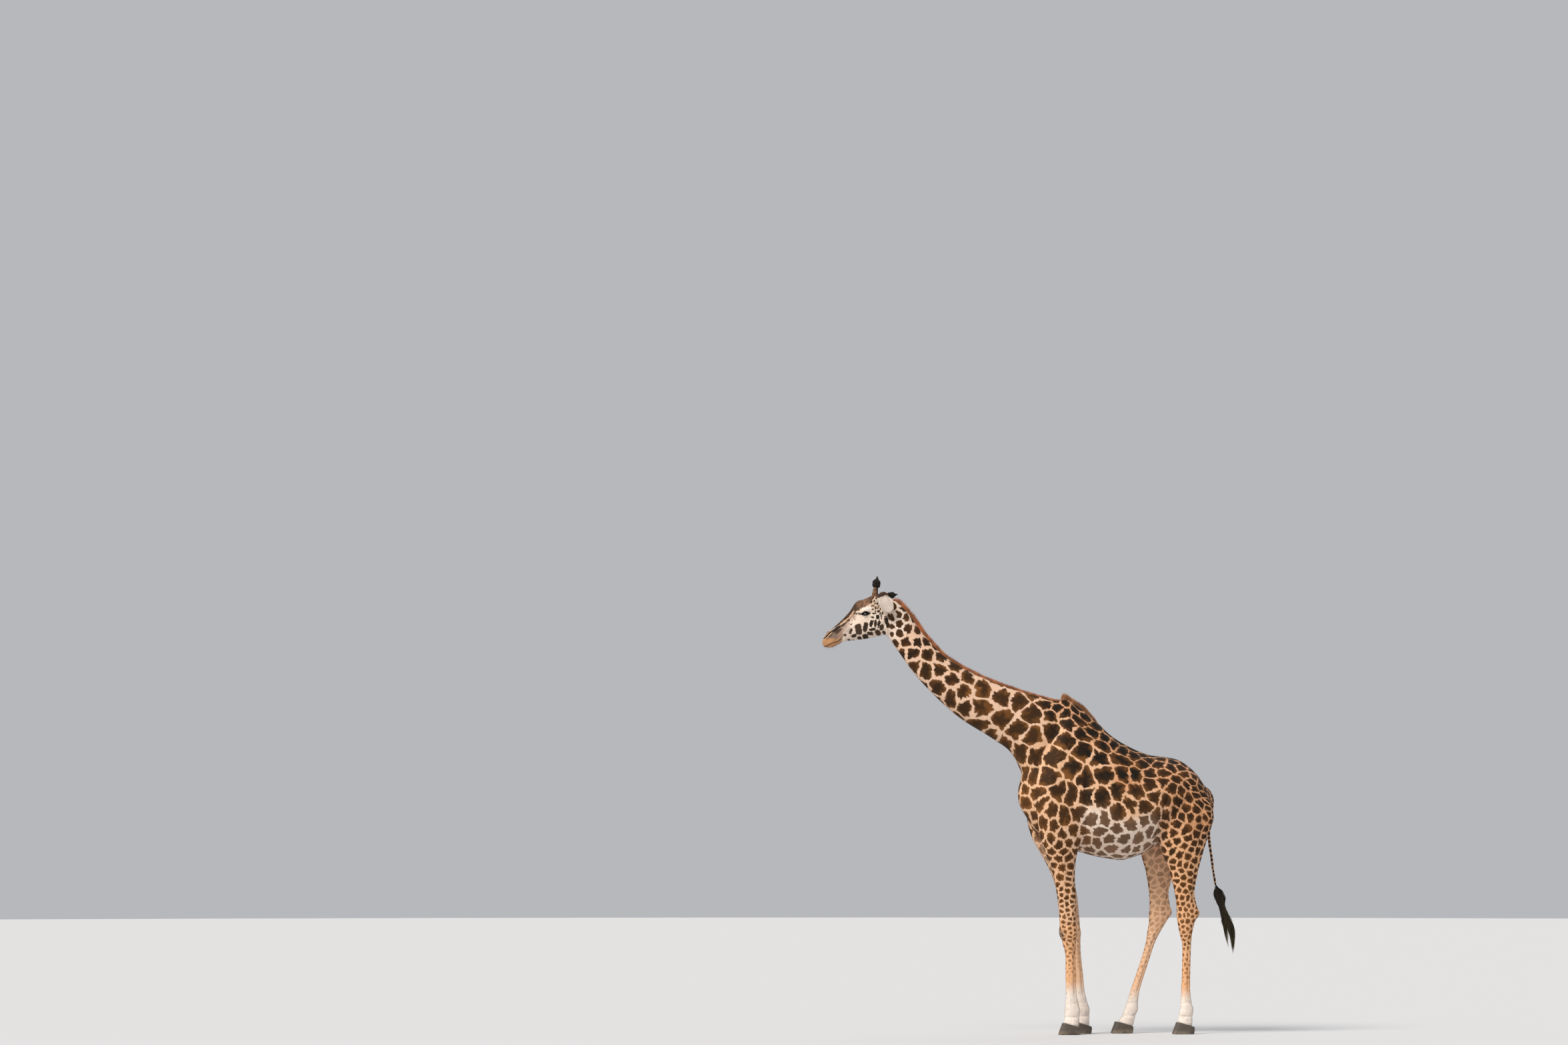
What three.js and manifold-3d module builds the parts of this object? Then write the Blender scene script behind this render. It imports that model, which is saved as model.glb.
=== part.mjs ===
// A standing female Masai giraffe at life size: head low and reaching forward, one hind leg stepped
// ahead. Millimetres, +Z up. The animal faces -X and its left side is towards -Y.
import * as THREE from "three";
import { mergeVertices } from "three/addons/utils/BufferGeometryUtils.js";
import Module from "manifold-3d";

const wasm = await Module();
wasm.setup();

// ---- driving sizes ----------------------------------------------------------------------------
const WITHERS_Z = 2810; // top of the hump over the shoulders
const HIP_Z = 2320; // top of the croup
const BELLY_Z = 1455; // lowest point of the belly
const LEG_TOP_Z = 1500; // where the legs are parted from the trunk
const KNEE_Z = 850;
const HOCK_Z = 1010;
const FETLOCK_Z = 205;
const FORE_TRACK = 165; // half the distance between the two forelegs at the elbow
const HIND_TRACK = 160;
const HOOF_LENGTH = 178;
const HOOF_FRONT_Z = 98; // height of the hoof wall at the toe
const HOOF_HEEL_Z = 62;
const EYE_RADIUS = 27;
const EAR_LENGTH = 192;
const EAR_WIDTH = 132;
const GAP = 0.35; // clear space between neighbouring pieces

// The head is turned to its right and leans the same way a little, about the joint with the neck.
const HEAD_JOINT = [-1508, 110, 3493];
const HEAD_YAW = 22;
const HEAD_ROLL = 8;

const COLOURS = {
  coat: { color: 0xb98a60, roughness: 0.85, metalness: 0 },
  head: { color: 0xc9ad90, roughness: 0.85, metalness: 0 },
  mane: { color: 0xa05a30, roughness: 0.9, metalness: 0 },
  dark: { color: 0x1b1613, roughness: 0.8, metalness: 0 },
  hoof: { color: 0x3a3029, roughness: 0.5, metalness: 0 },
  eye: { color: 0x140c08, roughness: 0.05, metalness: 0 },
};

// ---- lofts ------------------------------------------------------------------------------------
// A loft runs through stations. A station is a closed section in space:
//   a, b   the two ends of its long axis, [x, z] (top and bottom, or front and back)
//   w      half its width across the body, y its middle across the body
//   lean   how much wider the a end is than the b end, square how boxy the section is (0 = ellipse)
const station = (a, b, w, y = 0, lean = 0, square = 0) => [...a, ...b, w, y, lean, square];

const middle = (s) => new THREE.Vector3((s[0] + s[2]) / 2, s[5], (s[1] + s[3]) / 2);

// The station at a share t of the loft's length, by a smooth curve through the given ones.
function stationAt(stations, t) {
  const at = [0];
  for (let i = 1; i < stations.length; i++)
    at.push(at[i - 1] + middle(stations[i]).distanceTo(middle(stations[i - 1])) + 1);
  const where = t * at.at(-1);
  let i = 0;
  while (i < stations.length - 2 && at[i + 1] < where) i++;
  const span = at[i + 1] - at[i];
  const f = (where - at[i]) / span;
  const slope = (k, n) => {
    const lo = Math.max(k - 1, 0);
    const hi = Math.min(k + 1, stations.length - 1);
    return (stations[hi][n] - stations[lo][n]) / (at[hi] - at[lo]);
  };
  return stations[i].map((from, n) => {
    const to = stations[i + 1][n];
    const ease = f * f * (3 - 2 * f);
    const pull = f * (1 - f) * span;
    return from + (to - from) * ease + pull * ((1 - f) * slope(i, n) - f * slope(i + 1, n));
  });
}

const powered = (value, power) => Math.sign(value) * Math.abs(value) ** power;

// One point of a section: angle round it from the a end, out is 0 at its middle and 1 on its edge.
function sectionPoint(s, angle, out, grow) {
  const power = 1 - 0.35 * s[7];
  const along = powered(Math.cos(angle), power) * out;
  const across = powered(Math.sin(angle), power) * out;
  const axis = new THREE.Vector3((s[0] - s[2]) / 2, 0, (s[1] - s[3]) / 2);
  const half = axis.length() || 1;
  const point = middle(s).addScaledVector(axis, (along * (half + grow)) / half);
  point.y += across * (s[4] + grow) * (1 + s[6] * along);
  return point;
}

// A closed loft: a capped cylinder, each of whose vertices is moved onto the sections.
function loft(stations, sides, rings, grow = 0) {
  const geometry = new THREE.CylinderGeometry(1, 1, 1, sides, rings);
  const position = geometry.getAttribute("position");
  for (let i = 0; i < position.count; i++) {
    const [x, y, z] = [position.getX(i), position.getY(i), position.getZ(i)];
    const s = stationAt(stations, THREE.MathUtils.clamp(0.5 - y, 0, 1));
    const point = sectionPoint(s, Math.atan2(x, z), Math.min(1, Math.hypot(x, z)), grow);
    position.setXYZ(i, point.x, point.y, point.z);
  }
  return solid(geometry);
}

// ---- solids -----------------------------------------------------------------------------------
// A three.js geometry as a solid, turned the right way out.
function solid(geometry) {
  geometry.deleteAttribute("normal");
  geometry.deleteAttribute("uv");
  const merged = mergeVertices(geometry, 1e-3);
  const build = (flip) => {
    const triVerts = new Uint32Array(merged.index.array);
    for (let i = 0; flip && i < triVerts.length; i += 3)
      [triVerts[i + 1], triVerts[i + 2]] = [triVerts[i + 2], triVerts[i + 1]];
    const vertProperties = new Float32Array(merged.getAttribute("position").array);
    return new wasm.Manifold(new wasm.Mesh({ numProp: 3, vertProperties, triVerts }));
  };
  const made = build(false);
  return made.volume() > 0 ? made : build(true);
}

const join = (...pieces) => pieces.reduce((all, piece) => all.add(piece));

// An ellipsoid: its middle, its half sizes, and its turn about Y in degrees (nose-down positive).
function ellipsoid([x, y, z], [rx, ry, rz], turn = 0, sides = 8, rings = 6) {
  const geometry = new THREE.SphereGeometry(1, sides, rings);
  geometry.scale(rx, ry, rz);
  geometry.rotateY(THREE.MathUtils.degToRad(-turn));
  geometry.translate(x, y, z);
  return solid(geometry);
}

// Moves a solid that was made in the head's own frame to its place on the neck.
function onHead(piece) {
  return piece.rotate([-HEAD_ROLL, 0, 0]).rotate([0, 0, -HEAD_YAW]).translate(HEAD_JOINT);
}

// ---- trunk, neck and head ---------------------------------------------------------------------
function trunkLoft(grow = 0) {
  const rows = [
    station([-420, 2062], [-420, 1965], 32),
    station([-352, 2330], [-392, 1880], 104, 0, -0.1),
    station([-280, 2620], [-290, 1710], 175, 0, -0.2), // point of the shoulder
    station([-150, 2745], [-160, 1610], 222, 0, -0.3),
    station([-20, WITHERS_Z], [-20, 1555], 248, 0, -0.4),
    station([125, 2728], [115, 1520], 272, 0, -0.4),
    station([240, 2635], [230, 1488], 292, 0, -0.35), // behind the elbow
    station([362, 2518], [350, 1466], 312, 0, -0.25),
    station([502, 2428], [480, BELLY_Z], 325, 0, -0.15),
    station([690, 2348], [640, 1505], 312, 0, -0.05),
    station([860, HIP_Z], [790, 1590], 276, 0, 0.05), // flank
    station([985, 2290], [920, 1650], 240, 0, 0.05),
    station([1115, 2185], [1050, 1690], 196, 0, 0.05),
    station([1205, 2055], [1150, 1740], 142), // buttock
    station([1246, 1960], [1220, 1850], 60),
  ];
  return loft(rows, 22, 21, grow);
}

function neckLoft(grow = 0) {
  const rows = [
    station([30, 2770], [-330, 2030], 165, 0, -0.25),
    station([-133, 2806], [-462, 2325], 148, 0, -0.25),
    station([-398, 2873], [-626, 2459], 124, 0, -0.2),
    station([-736, 2994], [-952, 2666], 104, 8, -0.15),
    station([-1030, 3155], [-1268, 2968], 88, 28, -0.1),
    station([-1224, 3356], [-1456, 3226], 80, 58, -0.05),
    station([-1352, 3538], [-1518, 3318], 78, 86),
    station([-1455, 3634], [-1558, 3345], 76, 108),
    station([-1500, 3640], [-1600, 3380], 66, 122),
  ];
  return loft(rows, 18, 17, grow);
}

// The head in its own frame: origin at the joint, nose towards -X.
function headLoft(grow = 0) {
  const rows = [
    station([70, 118], [-15, -125], 58),
    station([38, 152], [-50, -160], 74),
    station([-28, 182], [-125, -176], 82, 0, -0.1, 0.1), // poll
    station([-108, 191], [-188, -190], 90, 0, -0.1, 0.2),
    station([-182, 160], [-244, -196], 92, 0, -0.05, 0.25), // eyes
    station([-235, 140], [-296, -202], 80, 0, 0, 0.2),
    station([-279, 120], [-341, -207], 64, 0, 0, 0.15), // end of the forehead
    station([-320, 57], [-375, -213], 53, 0, -0.05),
    station([-370, -2], [-398, -221], 46, 0, -0.05),
    station([-428, -58], [-421, -232], 43, 0, 0, 0.1),
    station([-480, -103], [-446, -248], 45, 0, 0.05, 0.2), // nostrils
    station([-515, -138], [-470, -257], 46, 0, 0.05, 0.3),
    station([-541, -172], [-503, -260], 42, 0, 0.05, 0.3), // lips
    station([-556, -208], [-536, -258], 26, 0, 0, 0.2),
  ];
  return loft(rows, 18, 24, grow);
}

const EYE = [-180, 74, 3]; // middle of the eyeball in the head's frame, mirrored for the other side

function eyeball(side, grow = 0) {
  const [x, y, z] = EYE;
  const r = EYE_RADIUS + grow;
  return onHead(ellipsoid([x, side * y, z], [r, r, r], 0, 12, 8));
}

function headSolid(grow = 0) {
  let all = headLoft(grow);
  for (const side of [-1, 1]) {
    const brow = ellipsoid([-182, side * 70, 22], [60 + grow, 34 + grow, 36 + grow], 20);
    const cheek = ellipsoid([-150, side * 50, -95], [95 + grow, 40 + grow, 80 + grow], 10);
    const nostril = ellipsoid([-488, side * 28, -156], [34 + grow, 22 + grow, 30 + grow], 40);
    all = join(all, brow, cheek, nostril);
  }
  const forehead = ellipsoid([-238, 0, 110], [52 + grow, 36 + grow, 34 + grow], 12);
  return onHead(join(all, forehead));
}

// ---- ears and ossicones -----------------------------------------------------------------------
// A cupped leaf: a flattened sphere, narrowed to its tip and bent across its width. Its frame is
// given by the direction to the tip and the direction its hollow faces.
function ear(side, grow = 0) {
  const [length, width, thickness, cup] = [EAR_LENGTH + 2 * grow, EAR_WIDTH + 2 * grow, 8 + grow, 0.5];
  const geometry = new THREE.SphereGeometry(1, 12, 10);
  geometry.rotateZ(-Math.PI / 2); // poles to the root and the tip
  const position = geometry.getAttribute("position");
  for (let i = 0; i < position.count; i++) {
    const along = (position.getX(i) + 1) / 2;
    const leaf = 1.18 - 0.4 * along;
    const across = (position.getY(i) * leaf * width) / 2;
    const bend = (cup * across * across) / (width / 2) - 14 * Math.sin(Math.PI * along);
    position.setXYZ(i, along * length - grow, across, position.getZ(i) * thickness + bend);
  }
  const toTip = new THREE.Vector3(0.66, side * 0.36, -0.66).normalize();
  const hollow = new THREE.Vector3(0, side * 0.88, 0.47);
  const acrossWay = new THREE.Vector3().crossVectors(hollow, toTip).normalize();
  hollow.crossVectors(toTip, acrossWay).normalize();
  geometry.applyMatrix4(new THREE.Matrix4().makeBasis(toTip, acrossWay, hollow));
  geometry.translate(-68, side * 78, 152);
  return onHead(solid(geometry));
}

// A round rod along a curve, with a radius for each of its points.
function rod(points, radii, sides, rings) {
  const curve = new THREE.CatmullRomCurve3(points.map((p) => new THREE.Vector3(...p)));
  const frames = curve.computeFrenetFrames(rings);
  const geometry = new THREE.CylinderGeometry(1, 1, 1, sides, rings);
  const position = geometry.getAttribute("position");
  for (let i = 0; i < position.count; i++) {
    const t = THREE.MathUtils.clamp(0.5 - position.getY(i), 0, 1);
    const last = radii.length - 1;
    const below = Math.floor(t * last);
    const above = Math.min(below + 1, last);
    const r = radii[below] + (radii[above] - radii[below]) * (t * last - below);
    const k = Math.round(t * rings);
    const point = curve
      .getPoint(t)
      .addScaledVector(frames.normals[k], position.getX(i) * r)
      .addScaledVector(frames.binormals[k], position.getZ(i) * r);
    position.setXYZ(i, point.x, point.y, point.z);
  }
  return solid(geometry);
}

// The left ossicone stands up; the right one is bent back over the poll.
const OSSICONES = {
  left: {
    root: [-110, -50, 165],
    bend: [-104, -56, 215],
    tuft: [-100, -60, 240],
    tip: [-90, -64, 326],
  },
  right: {
    root: [-104, 46, 155],
    bend: [-62, 62, 200],
    tuft: [-20, 74, 190],
    tip: [56, 96, 204],
  },
};

// The stalk and its tuft of hair, parted square to the tuft's own direction.
function ossicone({ root, bend, tuft, tip }) {
  const way = new THREE.Vector3(...tip).sub(new THREE.Vector3(...tuft));
  const [behind, ahead] = [0.1, 0.5].map((k) => new THREE.Vector3(...tuft).addScaledVector(way, k));
  const stalk = rod([root, bend, tuft, behind.toArray()], [30, 23, 20, 20], 8, 5);
  const hair = rod([tuft, ahead.toArray(), tip], [22, 40, 37, 28, 17, 4], 9, 6);
  const below = part(stalk, behind.toArray(), way.toArray())[1];
  const above = part(hair, behind.toArray(), way.toArray())[0];
  return { stalk: onHead(below), tuft: onHead(above) };
}

// ---- legs and hooves --------------------------------------------------------------------------
// A leg's rows hold [height, front x, back x, half width, distance from the middle of the body].
const FORELEG = [
  [2330, -215, 60, 52, 150],
  [2120, -285, 105, 78, 168],
  [1930, -310, 120, 90, 176],
  [1780, -300, 112, 94, 178],
  [1650, -275, 92, 90, FORE_TRACK + 8], // elbow
  [1530, -236, 52, 80, FORE_TRACK],
  [1380, -176, 30, 68, FORE_TRACK - 5],
  [1140, -124, 38, 58, FORE_TRACK - 12],
  [960, -106, 44, 54, FORE_TRACK - 15],
  [KNEE_Z, -102, 44, 56, FORE_TRACK - 17],
  [762, -80, 40, 48, FORE_TRACK - 19],
  [678, -57, 37, 38, FORE_TRACK - 20],
  [510, -54, 43, 36, FORE_TRACK - 22],
  [340, -52, 50, 38, FORE_TRACK - 24],
  [FETLOCK_Z, -60, 75, 48, FORE_TRACK - 25],
  [140, -72, 70, 47, FORE_TRACK - 25],
  [95, -84, 66, 54, FORE_TRACK - 25],
  [40, -90, 66, 54, FORE_TRACK - 25],
];
const HINDLEG = [
  [2130, 930, 1080, 30, 85],
  [1980, 830, 1196, 70, 132],
  [1830, 775, 1232, 96, HIND_TRACK],
  [1700, 752, 1200, 104, HIND_TRACK],
  [1590, 756, 1160, 98, HIND_TRACK], // stifle
  [1500, 784, 1132, 88, HIND_TRACK],
  [1380, 836, 1100, 72, HIND_TRACK - 4],
  [1190, 886, 1070, 55, HIND_TRACK - 8],
  [1070, 903, 1086, 46, HIND_TRACK - 10],
  [HOCK_Z, 908, 1100, 45, HIND_TRACK - 11],
  [930, 914, 1066, 46, HIND_TRACK - 12],
  [845, 930, 1046, 43, HIND_TRACK - 14],
  [760, 950, 1037, 36, HIND_TRACK - 16],
  [610, 952, 1032, 34, HIND_TRACK - 18],
  [350, 944, 1030, 36, HIND_TRACK - 20],
  [FETLOCK_Z, 930, 1050, 45, HIND_TRACK - 20],
  [140, 912, 1046, 45, HIND_TRACK - 20],
  [95, 898, 1046, 53, HIND_TRACK - 20],
  [40, 892, 1046, 53, HIND_TRACK - 20],
];

// How far back each leg has swung from those rows, [height, shift], and where its hoof stands.
const LEGS = {
  left_fore: { rows: FORELEG, side: -1, swing: [[3000, 0], [0, 0]] },
  right_fore: {
    rows: FORELEG,
    side: 1,
    swing: [[3000, 0], [1700, 0], [1500, 42], [1140, 90], [KNEE_Z, 108], [0, 165]],
  },
  left_hind: { rows: HINDLEG, side: -1, swing: [[3000, 0], [0, 0]] },
  right_hind: {
    rows: HINDLEG,
    side: 1,
    swing: [
      [3000, 0], [1750, 0], [1480, -112], [HOCK_Z, -160], [920, -172], [760, -238], [350, -368], [0, -458],
    ],
  },
};

// The swing at a height, straight between its points.
function swingAt(swing, z) {
  let i = 0;
  while (i < swing.length - 2 && swing[i + 1][0] > z) i++;
  const [[z0, s0], [z1, s1]] = [swing[i], swing[i + 1]];
  return s0 + ((s1 - s0) * (z0 - z)) / (z0 - z1);
}

function legLoft({ rows, side, swing }) {
  const stations = rows.map(([z, front, back, w, y]) => {
    const shift = swingAt(swing, z);
    return station([front + shift, z], [back + shift, z], w, side * y, 0, z < 1200 ? 0.15 : 0);
  });
  return loft(stations, 12, 20);
}

// The front and the middle of a leg's foot on the ground.
function footPlace({ rows, side, swing }) {
  const [, front, back, , y] = rows.at(-1);
  const shift = swingAt(swing, 0);
  return { toe: front + shift - 8, heel: back + shift, y: side * y };
}

// The plane along the hair line, sloping down from the toe to the heel.
function coronet(leg, raise) {
  const { toe, heel } = footPlace(leg);
  const slope = (HOOF_FRONT_Z - HOOF_HEEL_Z) / (heel - toe);
  const normal = new THREE.Vector3(slope, 0, 1).normalize();
  const offset = normal.x * toe + normal.z * (HOOF_FRONT_Z + raise);
  return { normal: normal.toArray(), offset };
}

function lowerLeg(leg) {
  const { normal, offset } = coronet(leg, GAP);
  return legLoft(leg).trimByPlane([0, 0, -1], -LEG_TOP_Z + GAP).trimByPlane(normal, offset);
}

const upperLeg = (leg) => legLoft(leg).trimByPlane([0, 0, 1], LEG_TOP_Z);

// One toe of a cloven hoof: a flat sole, a wall that slopes back to the hair line, a rounded tip.
function hoofToe(leg, half) {
  const { toe, y } = footPlace(leg);
  const middleY = y + half * 29;
  const rows = [
    station([toe + 22, 130], [toe + HOOF_LENGTH - 22, 130], 22, middleY, 0, 0.4),
    station([toe - 2, 50], [toe + HOOF_LENGTH - 6, 50], 27, middleY, -0.1, 0.5),
    station([toe - 9, 14], [toe + HOOF_LENGTH - 8, 14], 28, middleY, -0.15, 0.5),
    station([toe - 6, 0], [toe + HOOF_LENGTH - 12, 0], 26, middleY, -0.15, 0.5),
  ];
  const { normal, offset } = coronet(leg, 0);
  return loft(rows, 10, 3).trimByPlane(normal.map((n) => -n), -offset);
}

// ---- tail and mane ----------------------------------------------------------------------------
const TAIL_END = [1284, -12, 1240];
const TAIL_WAY = [-0.24, 0, 0.97]; // up the tail at its end
const TAIL = [
  [1196, 0, 2060], [1250, 0, 1985], [1248, -2, 1850], [1228, -6, 1680], [1256, -10, 1420], TAIL_END,
];
const TASSEL = [TAIL_END, [1318, -12, 1140], [1358, -12, 1000], [1400, -12, 860], [1426, -12, 640]];
const TAIL_RADII = [34, 27, 19, 15, 13, 12];
const TASSEL_RADII = [14, 52, 50, 44, 42, 38, 30, 16, 3];

const tail = () => part(rod(TAIL, TAIL_RADII, 8, 13), TAIL_END, TAIL_WAY)[0];

const tassel = () => part(rod(TASSEL, TASSEL_RADII, 10, 11), TAIL_END, TAIL_WAY)[1];

// A blade of stiff hair that stands on the top line. Its rows hold [x, root z, tip z, y].
function maneBlade(rows, halfWidth, lean) {
  const stations = rows.map(([x, root, tip, y]) => {
    const lift = tip - root;
    return station([x + lean * lift, tip], [x, root], halfWidth, y, -0.55);
  });
  return loft(stations, 6, 2 * rows.length);
}

const neckMane = () =>
  maneBlade([
    [-1478, 3612, 3636, 112],
    [-1448, 3585, 3654, 106],
    [-1352, 3495, 3566, 86],
    [-1228, 3330, 3390, 58],
    [-1038, 3130, 3182, 28],
    [-736, 2965, 3014, 8],
    [-398, 2845, 2890, 0],
    [-150, 2785, 2820, 0],
    [-70, 2780, 2806, 0],
  ], 17, 0.4);

const withersMane = () =>
  maneBlade([
    [-50, 2782, 2815, 0],
    [-34, 2778, 2864, 0],
    [60, 2745, 2812, 0],
    [150, 2685, 2748, 0],
    [230, 2615, 2664, 0],
    [262, 2595, 2618, 0],
  ], 15, 0.1);

// ---- the animal -------------------------------------------------------------------------------
const group = new THREE.Group();

function add(name, piece, colour) {
  const mesh = piece.getMesh();
  const geometry = new THREE.BufferGeometry();
  geometry.setAttribute("position", new THREE.BufferAttribute(mesh.vertProperties, 3));
  geometry.setIndex(new THREE.BufferAttribute(mesh.triVerts, 1));
  geometry.computeVertexNormals();
  const named = new THREE.Mesh(geometry, new THREE.MeshStandardMaterial(COLOURS[colour]));
  named.name = name;
  group.add(named);
}

// The two sides of a plane through a point, with the gap between them.
function part(piece, point, normal) {
  const n = new THREE.Vector3(...normal).normalize();
  const offset = n.dot(new THREE.Vector3(...point));
  const back = n.clone().negate().toArray();
  return [piece.trimByPlane(n.toArray(), offset + GAP), piece.trimByPlane(back, -offset)];
}

const HEAD_CUT = { point: [-1508, 112, 3492], normal: [-0.93, 0.12, 0.34] };
const NECK_CUT = { point: [-1033, 20, 3060], normal: [-0.68, 0.08, 0.73] };
const BASE_CUT = { point: [-340, 0, 2560], normal: [-0.86, 0, 0.51] };

const legs = Object.values(LEGS);
const body = join(trunkLoft(), neckLoft(), headSolid(), ...legs.map(upperLeg));
const bodyClear = join(trunkLoft(GAP), neckLoft(GAP), headSolid(GAP));
const openBody = [-1, 1].reduce((all, side) => all.subtract(eyeball(side, GAP)), body);

const [headPiece, belowHead] = part(openBody, HEAD_CUT.point, HEAD_CUT.normal);
const [neckUpper, belowUpper] = part(belowHead, NECK_CUT.point, NECK_CUT.normal);
const [neckLower, trunk] = part(belowUpper, BASE_CUT.point, BASE_CUT.normal);

add("head", headPiece, "head");
add("neck_upper", neckUpper, "coat");
add("neck_lower", neckLower, "coat");
add("trunk", trunk, "coat");

for (const [name, leg] of Object.entries(LEGS)) {
  add(`${name}_leg`, lowerLeg(leg), "coat");
  add(`${name}_hoof_outer`, hoofToe(leg, leg.side), "hoof");
  add(`${name}_hoof_inner`, hoofToe(leg, -leg.side), "hoof");
}

for (const [name, side] of [["left", -1], ["right", 1]]) {
  const { stalk, tuft } = ossicone(OSSICONES[name]);
  add(`${name}_eye`, eyeball(side), "eye");
  add(`${name}_ear`, ear(side).subtract(bodyClear), "head");
  add(`${name}_ossicone`, stalk.subtract(bodyClear), "head");
  add(`${name}_ossicone_tuft`, tuft.subtract(bodyClear).subtract(ear(side, 4 * GAP)), "dark");
}

add("tail", tail().subtract(bodyClear), "coat");
add("tail_tassel", tassel(), "dark");
add("neck_mane", neckMane().subtract(bodyClear), "mane");
add("withers_mane", withersMane().subtract(bodyClear), "mane");

// The part's origin is the middle of its footprint box, on the ground.
const box = new THREE.Box3().setFromObject(group);
const centre = box.getCenter(new THREE.Vector3());
group.position.set(-centre.x, -centre.y, -box.min.z);

export default group;
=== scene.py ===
# %% [markdown]
# # A Masai giraffe at life size
# This scene dresses a measured giraffe in its real surfaces: one skin with its folds and lids, a short
# coat with its leaf-shaped patches, a mane, a tasselled tail, eyes and hooves. The measured solids come
# first as a fixed frame, and every piece here is built to lie on them. Sizes in the tables are
# millimetres, like the maker's drawing, and MM turns them into Blender's metres.

import math

import bpy
import numpy as np
from mathutils import Matrix, Vector
from mathutils.kdtree import KDTree


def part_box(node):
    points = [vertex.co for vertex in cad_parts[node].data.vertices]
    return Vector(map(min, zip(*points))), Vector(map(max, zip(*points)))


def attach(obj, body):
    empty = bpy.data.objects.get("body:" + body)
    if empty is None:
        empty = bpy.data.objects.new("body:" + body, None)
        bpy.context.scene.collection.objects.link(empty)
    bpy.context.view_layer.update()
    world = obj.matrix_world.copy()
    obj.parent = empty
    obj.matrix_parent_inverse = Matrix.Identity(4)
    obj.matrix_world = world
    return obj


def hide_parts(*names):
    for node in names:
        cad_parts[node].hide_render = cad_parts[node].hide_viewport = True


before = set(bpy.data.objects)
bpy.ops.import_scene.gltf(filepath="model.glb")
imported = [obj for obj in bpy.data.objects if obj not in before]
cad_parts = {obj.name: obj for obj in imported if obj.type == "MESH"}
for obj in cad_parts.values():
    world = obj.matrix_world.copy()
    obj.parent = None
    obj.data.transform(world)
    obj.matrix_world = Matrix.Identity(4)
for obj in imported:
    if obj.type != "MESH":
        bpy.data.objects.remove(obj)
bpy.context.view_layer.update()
MM = 0.001

# %% [markdown]
# ## Where the drawing lies
# The drawing's own zero is under the withers, while the measured model stands with its middle over the
# world's zero. The head has a frame of its own as well, turned a little to the animal's right, because
# a muzzle is far easier to describe when it points straight ahead. Here those two frames are set up. The
# left eye is used to find the shift, as it is the one small thing whose place is known in both.

# %% The drawing's frame and the head's frame
HEAD_JOINT = np.array([-1508, 110, 3493]) * MM
HEAD_TURN = np.array(Matrix.Rotation(math.radians(-22), 3, "Z") @ Matrix.Rotation(math.radians(-8), 3, "X"))
EYE = np.array([-180, 74, 3]) * MM
SIDES = {"left": -1, "right": 1}


def from_head(points):
    return np.asarray(points) @ HEAD_TURN.T + HEAD_JOINT


def to_head(points):
    return (np.asarray(points) - HEAD_JOINT) @ HEAD_TURN


def mirrored(point, side):
    return np.array(point, float) * [1, side, 1]


eye_low, eye_high = np.array(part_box("left_eye"))
SHIFT = (eye_low + eye_high) / 2 - from_head(mirrored(EYE, -1))
print("the drawing's zero is at", SHIFT.round(4))

# %% [markdown]
# ## Camera, light and floor
# A long lens from far away, as at a safari: 150 mm from about 55 m, at a person's eye height, so the
# legs stay parallel and the back keeps its true line. The light is a bright hazy sky with a large soft
# source high in front of the shoulder. The floor and the sky are a plain pale studio.

# %% Camera
BEARING, AWAY = math.radians(-14), 54.87
LENS_HEIGHT, AIM_HEIGHT, AIM_LEFT = 1.87, 4.294, 2.374


def in_scene(name, data):
    """A new object that shows the given data, linked into the scene."""
    made = bpy.data.objects.new(name, data)
    bpy.context.collection.objects.link(made)
    return made


camera = in_scene("camera", bpy.data.cameras.new("camera"))
camera.data.lens = 150
camera.data.sensor_width = 36
camera.data.clip_end = 400
bpy.context.scene.camera = camera

stand = Vector((SHIFT[0] + AWAY * math.sin(BEARING), -AWAY * math.cos(BEARING), LENS_HEIGHT))
right_way = Vector((math.cos(BEARING), math.sin(BEARING), 0))
target = Vector((SHIFT[0], 0, AIM_HEIGHT)) - AIM_LEFT * right_way
camera.location = stand
camera.rotation_euler = (target - stand).to_track_quat("-Z", "Y").to_euler()


# %% Soft light
def soft_sun(name, bearing, height, strength, softness, colour):
    lamp = bpy.data.lights.new(name, "SUN")
    lamp.energy = strength
    lamp.angle = math.radians(softness)
    lamp.color = colour
    turn, rise = math.radians(bearing), math.radians(height)
    source = Vector((math.sin(turn) * math.cos(rise), -math.cos(turn) * math.cos(rise), math.sin(rise)))
    in_scene(name, lamp).rotation_euler = source.to_track_quat("Z", "Y").to_euler()


soft_sun("haze_front", -52, 46, 2.9, 28, (1.0, 0.96, 0.90))
soft_sun("haze_back", 140, 48, 0.5, 60, (0.92, 0.95, 1.0))

studio = bpy.data.worlds.new("studio")
studio.use_nodes = True
sky = studio.node_tree.nodes["Background"].inputs
sky["Color"].default_value = (0.86, 0.87, 0.91, 1)
sky["Strength"].default_value = 0.55
bpy.context.scene.world = studio
bpy.context.scene.view_settings.view_transform = "Standard"


# %% Floor
DISC_SIDES = 96


def plain_disc(radius, rings):
    angles = np.linspace(0, 2 * math.pi, DISC_SIDES, endpoint=False)
    circle = np.stack([np.cos(angles), np.sin(angles), 0 * angles], 1)
    points = np.concatenate([[[0, 0, 0]]] + [circle * r for r in np.linspace(0, radius, rings + 1)[1:]])
    steps = [(i, (i + 1) % DISC_SIDES) for i in range(DISC_SIDES)]
    faces = [(0, 1 + i, 1 + j) for i, j in steps]
    for k in range(rings - 1):
        a, b = 1 + DISC_SIDES * k, 1 + DISC_SIDES * (k + 1)
        faces += [(a + i, b + i, b + j, a + j) for i, j in steps]
    return points, faces


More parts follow.
